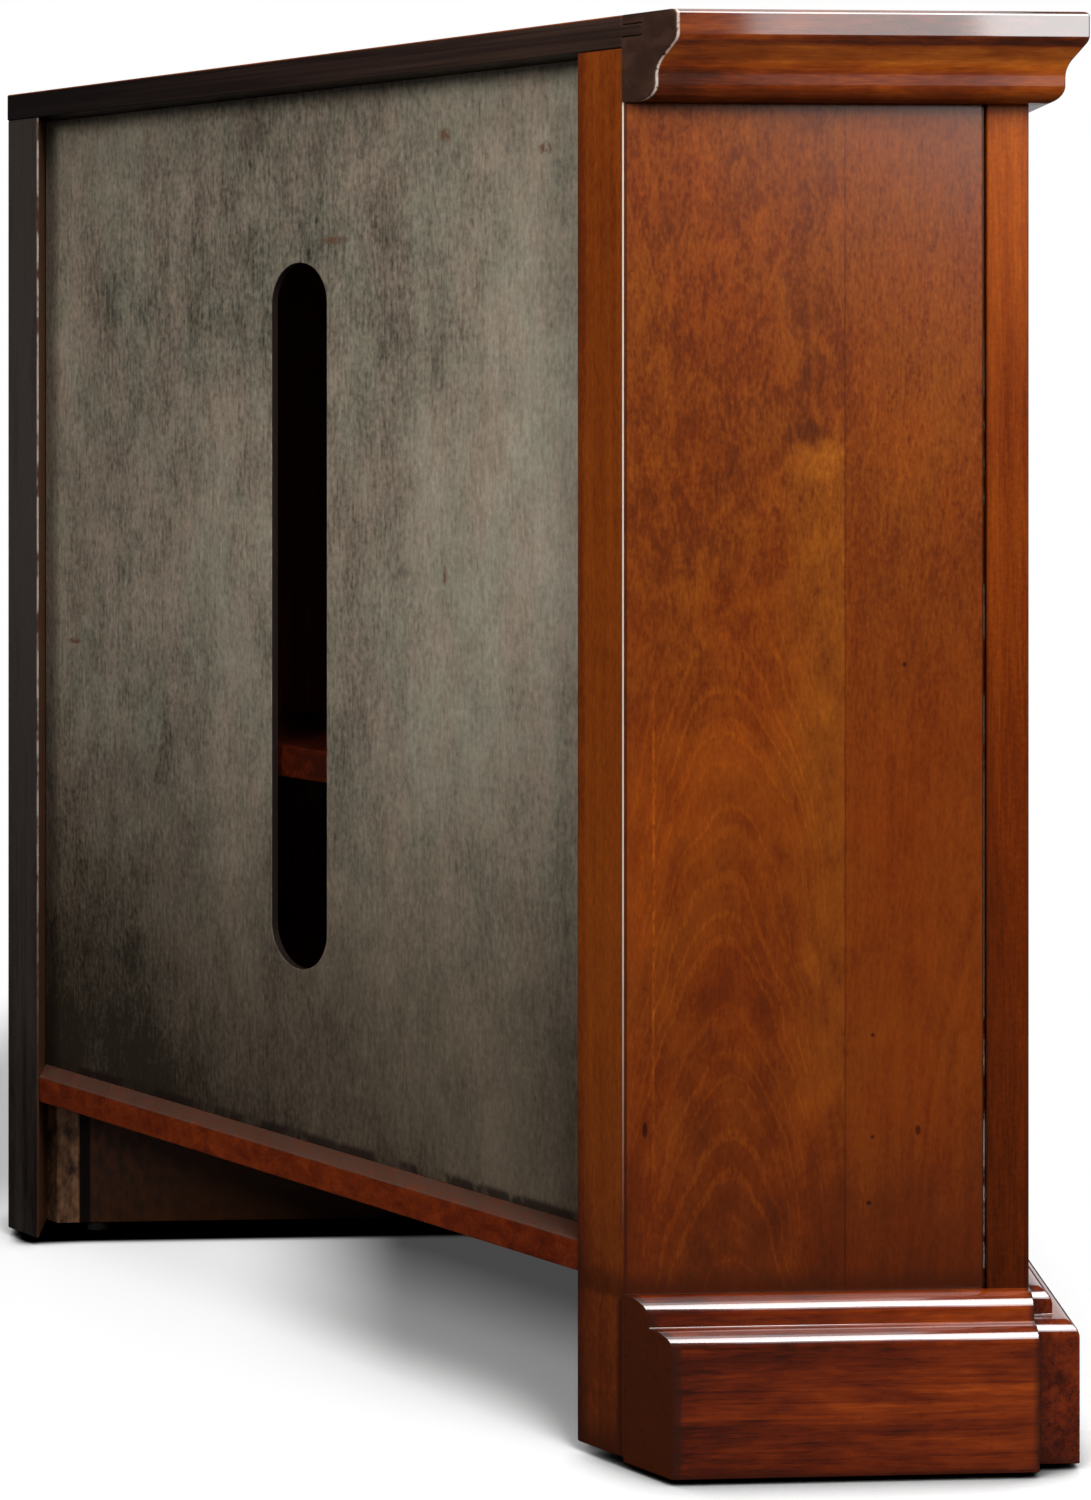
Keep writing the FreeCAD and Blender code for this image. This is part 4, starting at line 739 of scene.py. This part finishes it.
def steel_finish():
    """Zinc-plated steel."""
    finish, c = begun("steel")
    bloom = finish.noise((160.0, 160.0, 160.0), detail=3.0)
    grit = finish.noise((900.0, 900.0, 900.0), detail=2.0)
    return finish.surface(
        Base_Color=finish.mix(bloom, DULL_ZINC, c["steel"]),
        Metallic=1.0,
        Roughness=0.3 + grit.swing(0.2),
        Normal=finish.bump(grit, 0.05, 0.0002),
    )


def plastic_finish():
    """Dark moulded plastic."""
    finish, c = begun("dark_plastic")
    grain = finish.noise((1100.0, 1100.0, 1100.0), detail=2.0)
    scuff = finish.noise((120.0, 120.0, 120.0), detail=3.0)
    return finish.surface(
        Base_Color=finish.mix(scuff.step(0.5, 0.8), c["plastic"], SCUFFED),
        Roughness=0.5 + scuff.swing(0.2),
        Specular_IOR_Level=0.2,
        Normal=finish.bump(grain, 0.1, 0.0003),
    )


FINISHES = {
    "cherry_veneer": veneer_finish,
    "cherry_upright": lambda: solid_finish("cherry_upright", "Z"),
    "cherry_rail": lambda: solid_finish("cherry_rail", "X"),
    "moulding_side": lambda: moulding_finish("moulding_side", "Y"),
    "moulding_front": lambda: moulding_finish("moulding_front", "X"),
    "top_veneer": top_finish,
    "board_level": lambda: board_finish("board_level", "X", 0.44),
    "board_shelf": lambda: board_finish("board_shelf", "X", 0.09),
    "board_upright": lambda: board_finish("board_upright", "Z", 0.5),
    "rear_wood": rear_finish,
    "plywood": plywood_finish,
    "tinted_glass": glass_finish,
    "bronze": bronze_finish,
    "steel": steel_finish,
    "dark_plastic": plastic_finish,
}


def finish_named(name):
    """A finish, made the first time it is asked for."""
    return bpy.data.materials.get(f"{name}_finish") or FINISHES[name]()


def paint(thing, name):
    """Gives a mesh one finish all over."""
    thing.data.materials.clear()
    thing.data.materials.append(finish_named(name))


def paint_node(label, name):
    """Gives a CAD piece a finish and leaves its shape alone."""
    node = frame["nodes"][label]
    for place in node.material_slots:
        place.material = finish_named(name)


# Vertices closer than this are one; faces flatter and edges sharper than these angles, in
# degrees; and the shortest edges that are eased on drilled wood and on hinge leaves.
MERGE = 1e-6
FLAT = 0.5
SHARP = 30.0
WOOD_SHORTEST = 0.003
LEAF_SHORTEST = 0.0008


def select_only(thing):
    """Makes one object the selected and active one."""
    bpy.ops.object.select_all(action="DESELECT")
    thing.select_set(True)
    bpy.context.view_layer.objects.active = thing


def edit_all(thing):
    """Opens an object for editing with everything selected."""
    select_only(thing)
    bpy.ops.object.mode_set(mode="EDIT")
    bpy.ops.mesh.select_all(action="SELECT")


def smooth(thing, degrees=32.0):
    """Smooth shading that keeps sharp edges."""
    select_only(thing)
    bpy.ops.object.shade_smooth_by_angle(angle=math.radians(degrees))


def select_sharp(thing, degrees, shortest):
    """Selects the edges sharper than an angle and longer than a length; gives their number."""
    shape = bmesh.from_edit_mesh(thing.data)
    bpy.ops.mesh.select_mode(type="EDGE")
    bpy.ops.mesh.select_all(action="DESELECT")
    chosen = 0
    for edge in shape.edges:
        if len(edge.link_faces) == 2 and edge.calc_length() > shortest:
            if edge.calc_face_angle(0.0) > math.radians(degrees):
                edge.select_set(True)
                chosen += 1
    bmesh.update_edit_mesh(thing.data)
    return chosen


def cut(piece, cutter):
    """Takes one shape out of another."""
    select_only(piece)
    opening = piece.modifiers.new("opening", "BOOLEAN")
    opening.operation = "DIFFERENCE"
    opening.solver = "EXACT"
    opening.object = cutter
    before = len(piece.data.polygons)
    bpy.ops.object.modifier_apply(modifier=opening.name)
    if len(piece.data.polygons) in (0, before):
        raise RuntimeError(f"{piece.name} was not cut")


def eased(label, ease, finish, shortest=0.0, steps=2, drills=None):
    """Puts a copy of a CAD piece in its place, with its edges rounded as a maker sands them.

    Drills are a shape that is taken out of it before it is finished.
    """
    source = frame["nodes"][label]
    piece = bpy.data.objects.new(f"{label}_eased", source.data.copy())
    bpy.context.scene.collection.objects.link(piece)
    edit_all(piece)
    bpy.ops.mesh.remove_doubles(threshold=MERGE)
    bpy.ops.mesh.dissolve_limited(angle_limit=math.radians(FLAT))
    if not select_sharp(piece, SHARP, shortest):
        raise RuntimeError(f"{label} has no edge to ease")
    bpy.ops.mesh.bevel(offset=ease, segments=steps, affect="EDGES", clamp_overlap=False)
    bpy.ops.object.mode_set(mode="OBJECT")
    if drills:
        cut(piece, drills)
    smooth(piece)
    flats = piece.modifiers.new("flats", "WEIGHTED_NORMAL")
    flats.keep_sharp = True
    bpy.ops.object.modifier_apply(modifier=flats.name)
    paint(piece, finish)
    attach(piece, source["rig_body"])
    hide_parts(label)
    return piece


def turned(name, outline, centre, axis):
    """A piece turned on a lathe: an outline of (radius, distance) spun about a centre's axis."""
    axis = Vector(axis).normalized()
    outwards = axis.orthogonal().normalized()
    points = [Vector(centre) + outwards * radius + axis * distance for radius, distance in outline]
    bpy.ops.object.select_all(action="DESELECT")
    bpy.ops.mesh.primitive_plane_add(size=0.001, location=points[0])
    piece = bpy.context.object
    piece.name = name
    bpy.ops.object.mode_set(mode="EDIT")
    bpy.ops.mesh.select_mode(type="VERT")
    bpy.ops.mesh.select_all(action="SELECT")
    bpy.ops.mesh.merge(type="CENTER")
    for here, there in zip(points, points[1:]):
        bpy.ops.mesh.extrude_region_move(TRANSFORM_OT_translate={"value": there - here})
    bpy.ops.mesh.select_all(action="SELECT")
    steps = bpy.context.scene.stand_sizes.turning_steps
    bpy.ops.mesh.spin(steps=steps, angle=2.0 * math.pi, center=centre, axis=axis)
    bpy.ops.mesh.select_all(action="SELECT")
    bpy.ops.mesh.remove_doubles(threshold=MERGE)
    bpy.ops.mesh.normals_make_consistent(inside=False)
    bpy.ops.object.mode_set(mode="OBJECT")
    bpy.ops.object.transform_apply(location=True, rotation=True, scale=True)
    if not piece.data.polygons:
        raise RuntimeError(f"{name} was not turned")
    smooth(piece)
    return piece


def copied(thing, name, shift):
    """A copy with its own mesh, moved by a vector."""
    copy = bpy.data.objects.new(name, thing.data.copy())
    copy.data.transform(Matrix.Translation(shift))
    bpy.context.scene.collection.objects.link(copy)
    return copy


def joined(name, things):
    """Several meshes as one object."""
    bpy.ops.object.select_all(action="DESELECT")
    for thing in things:
        thing.select_set(True)
    bpy.context.view_layer.objects.active = things[0]
    if len(things) > 1:
        bpy.ops.object.join()
    things[0].name = name
    return things[0]


# Rows of spare holes above and below the shelf pins, in steps of the pitch.
SPARE_ROWS = (-2, -1, 1, 2)

# A knob from its foot to its crown, as shares of its radius and of its length.
KNOB_OUTLINE = (
    (0.0, 0.0),
    (0.62, 0.0),
    (0.64, 0.05),
    (0.58, 0.1),
    (0.47, 0.15),
    (0.42, 0.26),
    (0.42, 0.36),
    (0.5, 0.45),
    (0.72, 0.52),
    (0.92, 0.58),
    (0.99, 0.65),
    (1.0, 0.72),
    (0.97, 0.79),
    (0.88, 0.87),
    (0.7, 0.94),
    (0.45, 0.98),
    (0.2, 0.996),
    (0.0, 1.0),
)

# A hinge pin's core, how far it sinks into the knuckles, and its tip, as shares of the radius and
# of the tip's height.
PIN_CORE = 0.35
PIN_SINK = 0.002
PIN_TIP = (
    (0.35, 0.0),
    (0.98, 0.02),
    (1.0, 0.1),
    (0.92, 0.2),
    (0.62, 0.28),
    (0.62, 0.34),
    (0.86, 0.44),
    (0.94, 0.56),
    (0.84, 0.72),
    (0.55, 0.88),
    (0.22, 0.97),
    (0.0, 1.0),
)

# A hinge leaf's depth and the gap between two leaves; a screw head as shares of its radius and how
# far each stands proud; its slot, with width and length as shares of the radius; and where the
# screws sit along a leaf, each with the turn of its slot in degrees.
LEAF_DEPTH = 0.017
LEAF_GAP = 0.0004
SCREW_HEAD = (
    (0.0, -0.0004),
    (0.85, -0.0004),
    (1.0, -0.00002),
    (0.97, 0.00005),
    (0.7, 0.0001),
    (0.3, 0.00013),
    (0.0, 0.00014),
)
SLOT_MIDDLE = 0.0002
SLOT_DEPTH = 0.00036
SLOT_WIDTH = 0.3
SLOT_LENGTH = 2.4
SCREW_PLACES = ((0.18, 20.0), (0.5, 75.0), (0.82, -35.0))


class STAND_OT_carcass(bpy.types.Operator):
    """Ease and finish the side panels, partitions, bottom boards and back posts."""

    bl_idname = "corner_stand.carcass"
    bl_label = "Carcass"

    def execute(self, context):
        sizes = context.scene.stand_sizes
        ease = sizes.wood_ease
        drills = self.spare_pins(sizes.hole_pitch)
        for side in SIDES:
            for panel, finish, slot in (
                ("side_panel", "cherry_veneer", "cherry_veneer"),
                ("partition", "board_upright", "carcass_board"),
            ):
                eased(f"{panel}_{side}", ease, finish, WOOD_SHORTEST, drills=drills)
            eased(f"back_stile_{side}", ease, "rear_wood")
        bpy.data.objects.remove(drills)
        for bay in BAYS:
            eased(f"bottom_{bay}", ease, "board_level")
        return {"FINISHED"}

    def spare_pins(self, pitch):
        """The shelf pins moved up and down by the holes' pitch, to drill the spare holes with."""
        pins = copied(frame["nodes"]["shelf_pins"], "shelf_pin_drills", Vector())
        edit_all(pins)
        bpy.ops.mesh.remove_doubles(threshold=MERGE)
        bpy.ops.object.mode_set(mode="OBJECT")
        rows = [
            copied(pins, f"drill_row_{row}", Vector((0.0, 0.0, row * pitch))) for row in SPARE_ROWS
        ]
        bpy.data.objects.remove(pins)
        return joined("drills", rows)


class STAND_OT_back(bpy.types.Operator):
    """Ease and finish the plywood back panels and their cable slots."""

    bl_idname = "corner_stand.back"
    bl_label = "Back panels"

    def execute(self, context):
        ease = context.scene.stand_sizes.plywood_ease
        for bay in BAYS:
            eased(f"back_panel_{bay}", ease, "plywood")
        return {"FINISHED"}


class STAND_OT_top(bpy.types.Operator):
    """Ease and finish the top and the crown moulding round it."""

    bl_idname = "corner_stand.top"
    bl_label = "Top and crown"

    def execute(self, context):
        sizes = context.scene.stand_sizes
        eased("top_panel", sizes.wood_ease, "top_veneer")
        eased("crown_front", sizes.moulding_ease, "moulding_front")
        for side in SIDES:
            eased(f"crown_{side}", sizes.moulding_ease, "moulding_side")
        return {"FINISHED"}


class STAND_OT_base(bpy.types.Operator):
    """Ease and finish the base moulding."""

    bl_idname = "corner_stand.base"
    bl_label = "Base"

    def execute(self, context):
        ease = context.scene.stand_sizes.moulding_ease
        eased("base_front", ease, "moulding_front")
        for side in SIDES:
            eased(f"base_{side}", ease, "moulding_side")
        return {"FINISHED"}


class STAND_OT_face_frame(bpy.types.Operator):
    """Ease and finish the posts and rails of the face frame."""

    bl_idname = "corner_stand.face_frame"
    bl_label = "Face frame"

    def execute(self, context):
        ease = context.scene.stand_sizes.wood_ease
        for side in SIDES:
            eased(f"frame_stile_{side}", ease, "cherry_upright")
            eased(f"frame_mullion_{side}", ease, "cherry_upright")
        eased("frame_top_rail", ease, "cherry_rail")
        eased("frame_bottom_rail", ease, "cherry_rail")
        return {"FINISHED"}


class STAND_OT_shelves(bpy.types.Operator):
    """Ease and finish the shelves, and finish the pins that carry them."""

    bl_idname = "corner_stand.shelves"
    bl_label = "Shelves"

    def execute(self, context):
        ease = context.scene.stand_sizes.wood_ease
        for bay in BAYS:
            eased(f"shelf_{bay}", ease, "board_shelf")
        paint_node("shelf_pins", "steel")
        return {"FINISHED"}


class STAND_OT_doors(bpy.types.Operator):
    """Ease and finish the door frames and the beads behind the glass, and finish the glass."""

    bl_idname = "corner_stand.doors"
    bl_label = "Doors"

    def execute(self, context):
        sizes = context.scene.stand_sizes
        for side in SIDES:
            for stile in ("hinge_stile", "lock_stile"):
                label = f"door_{stile}_{side}"
                eased(label, sizes.wood_ease, "cherry_upright", WOOD_SHORTEST)
            for rail in ("top_rail", "bottom_rail"):
                eased(f"door_{rail}_{side}", sizes.wood_ease, "cherry_rail")
            eased(f"door_glass_beads_{side}", sizes.bead_ease, "cherry_upright")
            paint_node(f"door_glass_{side}", "tinted_glass")
        return {"FINISHED"}


class STAND_OT_knobs(bpy.types.Operator):
    """Turn the door knobs, and finish the screws that hold them."""

    bl_idname = "corner_stand.knobs"
    bl_label = "Knobs"

    def execute(self, context):
        for side in SIDES:
            label = f"door_knob_{side}"
            low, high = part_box(label)
            radius, length = (high.x - low.x) / 2.0, high.y - low.y
            profile = [(r * radius, share * length) for r, share in KNOB_OUTLINE]
            foot = Vector(((low.x + high.x) / 2.0, high.y, (low.z + high.z) / 2.0))
            knob = turned(f"{label}_turned", profile, foot, (0.0, -1.0, 0.0))
            paint(knob, "bronze")
            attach(knob, f"door_{side}")
            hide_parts(label)
            paint_node(f"door_knob_screw_{side}", "steel")
        return {"FINISHED"}


class STAND_OT_hinges(bpy.types.Operator):
    """Ease and finish the hinge leaves, turn the pins with their tips and drive the screws."""

    bl_idname = "corner_stand.hinges"
    bl_label = "Hinges"

    def execute(self, context):
        sizes = context.scene.stand_sizes
        for side in SIDES:
            for leaves in ("hinge_frame_leaves", "door_hinge_leaves"):
                label = f"{leaves}_{side}"
                eased(label, sizes.hardware_ease, "bronze", LEAF_SHORTEST)
            self.turn_pins(f"hinge_pins_{side}", sizes.hinge_length)
            inwards = 1.0 if side == "left" else -1.0
            self.drive_screws(f"hinge_frame_leaves_{side}", inwards, sizes)
            self.drive_screws(f"door_hinge_leaves_{side}", -inwards, sizes)
        return {"FINISHED"}

    def drive_screws(self, label, facing, sizes):
        """Three slotted screws in each leaf, on the face that shows when the door is open."""
        low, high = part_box(label)
        radius = sizes.screw_radius
        head = [(share * radius, proud) for share, proud in SCREW_HEAD]
        screw = turned(f"{label}_screw", head, (0.0, 0.0, 0.0), (facing, 0.0, 0.0))
        bpy.ops.object.select_all(action="DESELECT")
        bpy.ops.mesh.primitive_cube_add(size=1.0, location=(facing * SLOT_MIDDLE, 0.0, 0.0))
        slot = bpy.context.object
        slot.scale = (SLOT_DEPTH, radius * SLOT_WIDTH, radius * SLOT_LENGTH)
        bpy.ops.object.transform_apply(location=True, rotation=True, scale=True)
        cut(screw, slot)
        bpy.data.objects.remove(slot)
        face = (low.x + high.x) / 2.0 - facing * LEAF_GAP / 2.0
        across = high.y - LEAF_DEPTH / 2.0
        screws = []
        for foot in (low.z, high.z - sizes.hinge_length):
            for share, turn in SCREW_PLACES:
                up = foot + share * sizes.hinge_length
                placed = copied(screw, f"{label}_screw_placed", Vector())
                placed.data.transform(Matrix.Rotation(math.radians(turn), 4, "X"))
                placed.data.transform(Matrix.Translation((face, across, up)))
                screws.append(placed)
        bpy.data.objects.remove(screw)
        screws = joined(f"{label}_screws", screws)
        smooth(screws)
        paint(screws, "steel")
        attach(screws, frame["nodes"][label]["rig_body"])

    def turn_pins(self, label, length):
        """The upper pin is a copy of the lower one, raised to the top of the node's box."""
        low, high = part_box(label)
        radius = (high.x - low.x) / 2.0
        reach = (high.z - low.z - self.spacing(label)) / 2.0
        tip = reach - length / 2.0
        half = [(PIN_CORE, length / 2.0 - PIN_SINK)]
        half += [(share, length / 2.0 + tip * rise) for share, rise in PIN_TIP]
        outline = [(share * radius, -up) for share, up in reversed(half)]
        outline += [(share * radius, up) for share, up in half]
        middle = Vector(((low.x + high.x) / 2.0, (low.y + high.y) / 2.0, low.z + reach))
        pin = turned(f"{label}_turned", outline, middle, (0.0, 0.0, 1.0))
        upper = copied(pin, f"{label}_upper", Vector((0.0, 0.0, self.spacing(label))))
        pins = joined(pin.name, [pin, upper])
        smooth(pins)
        paint(pins, "bronze")
        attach(pins, "carcass")
        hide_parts(label)

    def spacing(self, label):
        """How far apart a door's two pins stand: the node's vertices fall in two groups."""
        low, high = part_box(label)
        heights = [corner.co.z for corner in frame["nodes"][label].data.vertices]
        middle = (low.z + high.z) / 2.0
        return min(up for up in heights if up > middle) - low.z


class STAND_OT_catches(bpy.types.Operator):
    """Ease and finish the magnetic catches and their strikes."""

    bl_idname = "corner_stand.catches"
    bl_label = "Catches"

    def execute(self, context):
        ease = context.scene.stand_sizes.hardware_ease
        for side in SIDES:
            eased(f"door_catch_{side}", ease, "dark_plastic")
            eased(f"door_strike_{side}", ease, "steel")
        return {"FINISHED"}


class STAND_OT_glides(bpy.types.Operator):
    """Finish the glides under the posts."""

    bl_idname = "corner_stand.glides"
    bl_label = "Glides"

    def execute(self, context):
        paint_node("foot_glides", "dark_plastic")
        return {"FINISHED"}


# Softboxes: name, place, target, width, height, power setting, spread in degrees, and whether
# polished faces mirror it.
LAMPS = (
    ("key", (-1.5, -0.62, 1.5), (-0.6, -0.15, 0.62), 1.0, 0.9, "key_power", 110.0, True),
    ("strip", (-1.62, -0.74, 1.0), (-0.62, -0.2, 0.6), 0.6, 0.64, "strip_power", 150.0, True),
    ("wash", (-1.62, -0.43, 0.97), (-0.62, -0.2, 0.6), 0.36, 0.5, "wash_power", 150.0, True),
    ("front", (0.5, -2.4, 1.5), (0.0, -0.26, 0.38), 1.4, 1.0, "front_power", 120.0, False),
    ("rear", (1.7, 1.5, 1.5), (0.3, 0.2, 0.38), 1.2, 1.0, "front_power", 120.0, False),
    ("overhead", (-0.55, 0.0, 2.1), (-0.55, 0.0, 0.0), 1.9, 1.2, "overhead_power", 150.0, True),
    ("fill", (-1.5, 0.75, 1.12), (-0.52, 0.02, 0.6), 0.6, 0.6, "fill_power", 75.0, False),
)

# The floor as polished faces see it and as it lights the stand; how near a piece has to be for the
# floor to be painted darker under it, a painted contact shade; and |X| of the painted shadow on the
# floor under each partition.
FLOOR_MIRRORED = (0.025, 0.025, 0.025, 1.0)
FLOOR_BOUNCE = (0.25, 0.25, 0.25, 1.0)
CONTACT_REACH = 0.035
PARTITION_LINE = 0.247


def softbox(name, place, target, width, height, watts, spread, mirrored):
    """A rectangular lamp aimed at a point and unseen by the camera; its spread is in degrees.

    A lamp that is not mirrored leaves no bright patch on a polished face.
    """
    lamp = bpy.data.lights.new(name, "AREA")
    lamp.shape = "RECTANGLE"
    lamp.size = width
    lamp.size_y = height
    lamp.energy = watts
    lamp.spread = math.radians(spread)
    holder = bpy.data.objects.new(name, lamp)
    holder.location = place
    holder.rotation_mode = "QUATERNION"
    holder.rotation_quaternion = (Vector(target) - Vector(place)).to_track_quat("-Z", "Y")
    holder.visible_camera = False
    holder.visible_glossy = mirrored
    bpy.context.scene.collection.objects.link(holder)


def seen_directly(finish):
    """1 for what the camera sees, also in glass and metal, and 0 for light on the object."""
    camera = finish.node("ShaderNodeLightPath", output="Is Camera Ray")
    glossy = finish.node("ShaderNodeLightPath", output="Is Glossy Ray")
    through = finish.node("ShaderNodeLightPath", output="Is Transmission Ray")
    return camera.most(glossy).most(through)


class STAND_OT_stage(bpy.types.Operator):
    """Lay the floor, hang the lamps and stand the camera where the photograph was taken."""

    bl_idname = "corner_stand.stage"
    bl_label = "Stage"

    def execute(self, context):
        stage = context.scene.stand_stage
        bpy.ops.object.select_all(action="DESELECT")
        bpy.ops.mesh.primitive_plane_add(size=2.0 * stage.floor_reach)
        floor = context.object
        floor.name = "floor"
        floor.data.materials.append(self.floor_finish())

        for name, place, target, width, height, setting, spread, mirrored in LAMPS:
            watts = getattr(stage, setting)
            softbox(name, place, target, width, height, watts, spread, mirrored)
        self.light_room(context.scene, stage.room_light)

        lens = bpy.data.cameras.new("camera")
        lens.lens = stage.lens
        lens.shift_y = stage.lens_rise
        camera = bpy.data.objects.new("camera", lens)
        camera.location = stage.camera_place
        camera.rotation_euler = (math.pi / 2.0, 0.0, stage.camera_turn - math.pi / 2.0)
        context.scene.collection.objects.link(camera)
        context.scene.camera = camera
        context.scene.view_settings.view_transform = "Standard"
        return {"FINISHED"}

    def floor_finish(self):
        """Pale floor that takes the stand's shadow and fades to white far away; its contact shade
        and the shadows under the partitions are painted, and painted white lifts its shadow.
        """
        finish, c = begun("floor")
        x, y = finish.place("XY")
        camera = finish.node("ShaderNodeLightPath", output="Is Camera Ray")
        bounce = finish.node("ShaderNodeLightPath", output="Is Diffuse Ray")
        shades = finish.mix(bounce, FLOOR_MIRRORED, FLOOR_BOUNCE)
        shades = finish.mix(camera, shades, c["floor"])
        # The floor is painted darker where pieces stand near it: painted contact shade, from
        # ambient occlusion.
        contact = {"Distance": CONTACT_REACH}
        open_floor = finish.node("ShaderNodeAmbientOcclusion", {"samples": 8}, contact, "AO")
        # A painted shadow on the floor under each partition.
        below = abs(abs(x) - PARTITION_LINE).step(0.03, 0.014)
        below = below * y.step(0.29, 0.27) * y.step(-0.25, -0.2)
        open_floor = open_floor * (1.0 - below)
        shades = finish.mix(open_floor.step(0.2, 0.9), BLACK, shades)
        matt = finish.node("ShaderNodeBsdfDiffuse", None, {"Color": shades})
        white = finish.node("ShaderNodeEmission", None, {"Color": WHITE, "Strength": 1.0})
        wide, deep = x / 0.75, (y - 0.04) / 0.34
        # Under the back of the stand the floor is partly painted white over its shadow: painted
        # light.
        under = x.step(-0.1, -0.3) * y.step(0.02, 0.16) * 0.75
        behind = (wide * wide + deep * deep).step(0.8, 1.4) * y.step(-0.11, 0.0)
        beside = abs(x).step(0.648, 0.7).most(y.step(-0.305, -0.36))
        # A little white everywhere near the stand lifts its shadow: painted light.
        far = behind.most(beside).most(under).most(0.06) * open_floor.step(0.2, 0.95)
        far = far * camera.most(seen_directly(finish) * x.step(0.6, 2.0))
        mixed = finish.node("ShaderNodeMixShader", None, {0: far, 1: matt, 2: white})
        finish.node("ShaderNodeOutputMaterial", None, {"Surface": mixed})
        return finish.owner

    def light_room(self, scene, level):
        """Even room light, with a white backdrop for the camera, glass and metal."""
        scene.world = bpy.data.worlds.new("room")
        finish = Finish(scene.world)
        camera = finish.node("ShaderNodeLightPath", output="Is Camera Ray")
        heading = finish.node("ShaderNodeTexCoord", output="Generated")
        backdrop = finish.node("ShaderNodeSeparateXYZ", None, {0: heading}).step(0.35, 0.95)
        share = camera.most(seen_directly(finish) * (backdrop * 0.98 + 0.02))
        room, white, dark = (
            finish.node("ShaderNodeBackground", None, {"Color": shade, "Strength": strength})
            for shade, strength in ((WHITE, level), (WHITE, 1.0), (BLACK, 1.0))
        )
        seen = finish.node("ShaderNodeMixShader", None, {0: share, 1: dark, 2: white})
        direct = seen_directly(finish)
        mixed = finish.node("ShaderNodeMixShader", None, {0: direct, 1: room, 2: seen})
        finish.node("ShaderNodeOutputWorld", None, {"Surface": mixed})


class STAND_PT_panel(bpy.types.Panel):
    """The stand's steps and settings."""

    bl_idname = "STAND_PT_panel"
    bl_label = "Corner Stand"
    bl_space_type = "VIEW_3D"
    bl_region_type = "UI"
    bl_category = "Corner Stand"

    def draw(self, context):
        column = self.layout.column()
        for step in STEPS:
            column.operator(step.bl_idname)
        scene = context.scene
        for group in (scene.stand_sizes, scene.stand_colours, scene.stand_stage):
            box = self.layout.box()
            for name in group.__annotations__:
                box.prop(group, name)


GROUPS = (StandSizes, StandColours, StandStage)
STEPS = (
    STAND_OT_carcass,
    STAND_OT_back,
    STAND_OT_top,
    STAND_OT_base,
    STAND_OT_face_frame,
    STAND_OT_shelves,
    STAND_OT_doors,
    STAND_OT_knobs,
    STAND_OT_hinges,
    STAND_OT_catches,
    STAND_OT_glides,
    STAND_OT_stage,
)


def register():
    for group in GROUPS + STEPS + (STAND_PT_panel,):
        bpy.utils.register_class(group)
    bpy.types.Scene.stand_sizes = PointerProperty(type=StandSizes)
    bpy.types.Scene.stand_colours = PointerProperty(type=StandColours)
    bpy.types.Scene.stand_stage = PointerProperty(type=StandStage)


def unregister():
    del bpy.types.Scene.stand_stage
    del bpy.types.Scene.stand_colours
    del bpy.types.Scene.stand_sizes
    for group in reversed(GROUPS + STEPS + (STAND_PT_panel,)):
        bpy.utils.unregister_class(group)


def main():
    """Finishes the stand step by step."""
    register()
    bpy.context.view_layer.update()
    bpy.ops.corner_stand.carcass()
    bpy.ops.corner_stand.back()
    bpy.ops.corner_stand.top()
    bpy.ops.corner_stand.base()
    bpy.ops.corner_stand.face_frame()
    bpy.ops.corner_stand.shelves()
    bpy.ops.corner_stand.doors()
    bpy.ops.corner_stand.knobs()
    bpy.ops.corner_stand.hinges()
    bpy.ops.corner_stand.catches()
    bpy.ops.corner_stand.glides()
    bpy.ops.corner_stand.stage()


if __name__ == "__main__":
    main()
